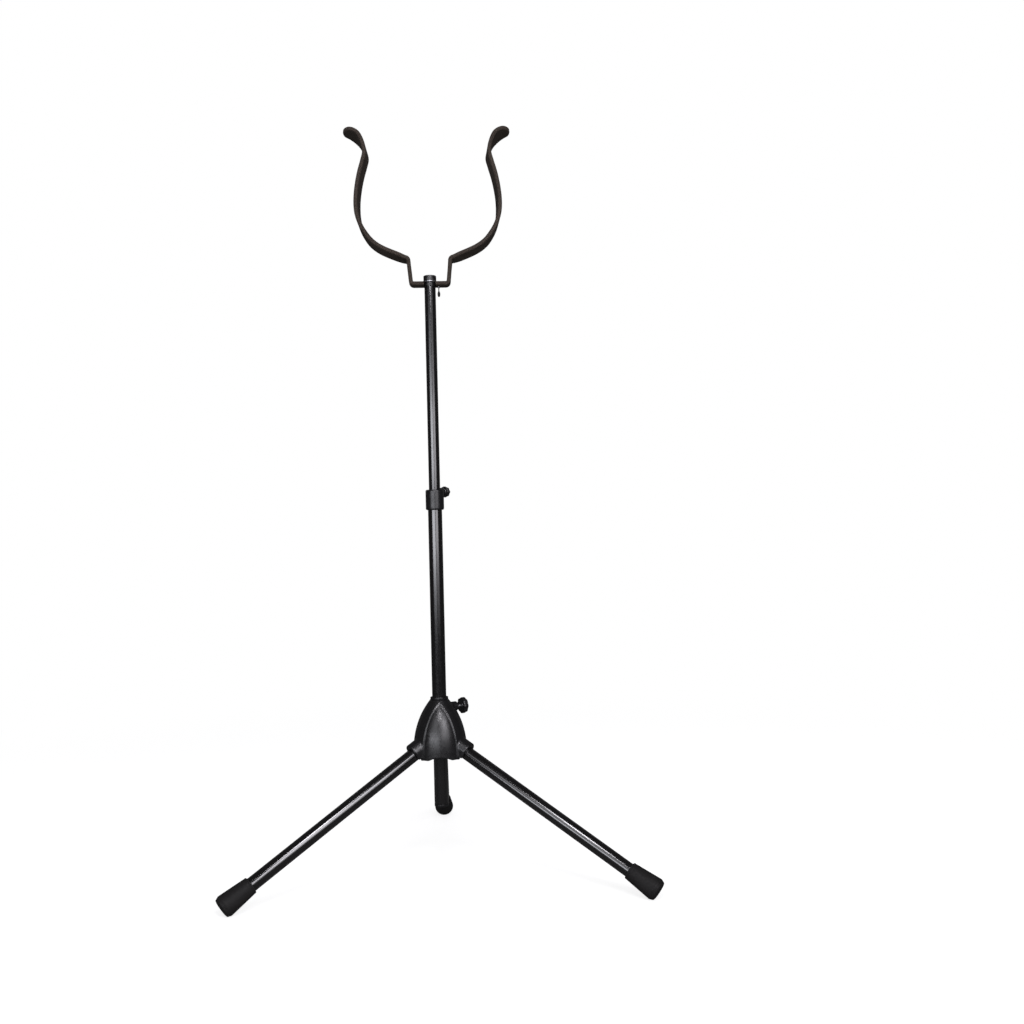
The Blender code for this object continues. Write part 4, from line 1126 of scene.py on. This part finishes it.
def make_world():
    """White to the eye on every side, and white in gloss only where the wall stands behind the stand."""
    world = bpy.data.worlds.new("studio")
    bpy.context.scene.world = world
    world.use_nodes = True
    tree = world.node_tree
    background = tree.nodes["Background"]
    camera, mirror = light_path_shows(tree)
    place = tree.nodes.new("ShaderNodeTexCoord")
    parts = tree.nodes.new("ShaderNodeSeparateXYZ")
    link(tree, place.outputs["Generated"], parts.inputs[0])
    wall = node(tree, "ShaderNodeMapRange", interpolation_type="SMOOTHSTEP", From_Min=WALL_START,
                From_Max=WALL_FULL, To_Min=DIM_WALL, To_Max=WALL_IN_GLOSS)
    link(tree, parts.outputs["Y"], wall.inputs["Value"])
    in_gloss = node(tree, "ShaderNodeMix", A=AMBIENT)
    link(tree, mirror, in_gloss.inputs["Factor"])
    link(tree, wall.outputs["Result"], in_gloss.inputs["B"])
    link(tree, larger(tree, in_gloss.outputs[0], camera), background.inputs["Strength"])
    background.inputs["Color"].default_value = (1.0, 1.0, 1.0, 1.0)


def softbox(name, azimuth, spread, distance, low, high, glow, colour, tilt=0.0):
    """A lamp that faces the stand, at an angle from the camera's side and as wide as its spread."""
    width = 2 * distance * math.tan(math.radians(spread))
    data = bpy.data.lights.new(name, "AREA")
    data.shape = "RECTANGLE"
    data.size = width
    data.size_y = high - low
    data.energy = glow * width * (high - low)
    data.color = colour
    lamp = bpy.data.objects.new(name, data)
    lamp.visible_camera = False
    bpy.context.scene.collection.objects.link(lamp)
    angle = math.radians(azimuth)
    lamp.location = (distance * math.sin(angle), -distance * math.cos(angle), (low + high) / 2)
    lamp.rotation_euler = (math.radians(90 - tilt), 0, angle)


def graded_softbox(name, azimuth, spread, distance, glow, colour):
    """Three lamps in one place, brightest where a ray from the camera leaves the middle of the mast."""
    reach = distance - CAMERA_PLACE[1]
    for number, (low, high, share) in enumerate(LAMP_SLOPES):
        softbox("%s_%d" % (name, number + 1), azimuth, spread, distance, CAMERA_PLACE[2] + reach * low,
                CAMERA_PLACE[2] + reach * high, glow * share, colour)


def make_lights():
    graded_softbox("key", -24.5, 22.5, 5.0, 22, (0.93, 0.94, 1.0))
    graded_softbox("fill", 24, 19, 1.9, 13, (0.97, 0.95, 1.0))
    softbox("left_leg_light", 26, 14, 10.0, 4.8, 8.6, 17, (0.96, 0.94, 1.0), 33)
    softbox("right_leg_light", -26, 14, 10.0, 4.8, 8.6, 4.5, (0.96, 0.95, 1.0), 33)
    softbox("hub_light", 1, 8, 1.2, 1.2, 1.5, 48, (0.97, 0.95, 1.0), 44)


def make_camera():
    data = bpy.data.cameras.new("photo_camera")
    data.sensor_fit = "HORIZONTAL"
    data.sensor_width = OPTIC_SENSOR
    data.lens = OPTIC_SENSOR * FOCAL_PIXELS / FRAME_PIXELS
    data.clip_start = 0.05
    data.clip_end = 60.0
    camera = bpy.data.objects.new("photo_camera", data)
    bpy.context.scene.collection.objects.link(camera)
    yaw, pitch, roll = (math.radians(a) for a in (CAMERA_YAW, CAMERA_PITCH, CAMERA_ROLL))
    forward = Vector((math.sin(yaw) * math.cos(pitch), math.cos(yaw) * math.cos(pitch), math.sin(pitch)))
    level = Vector((math.cos(yaw), -math.sin(yaw), 0.0))
    upright = level.cross(forward)
    right = level * math.cos(roll) + upright * math.sin(roll)
    up = upright * math.cos(roll) - level * math.sin(roll)
    turn = Matrix((right, up, -forward)).transposed().to_4x4()
    camera.matrix_world = Matrix.Translation(CAMERA_PLACE) @ turn
    bpy.context.scene.camera = camera


make_camera()
make_floor()
make_world()
make_lights()
finishes = make_finishes()
slot_of_node = slots_by_node()
body_of_node = bodies_by_node()
dress_nodes()
make_turned_pieces()
make_swept_pieces()
bpy.context.scene.view_settings.view_transform = "Standard"
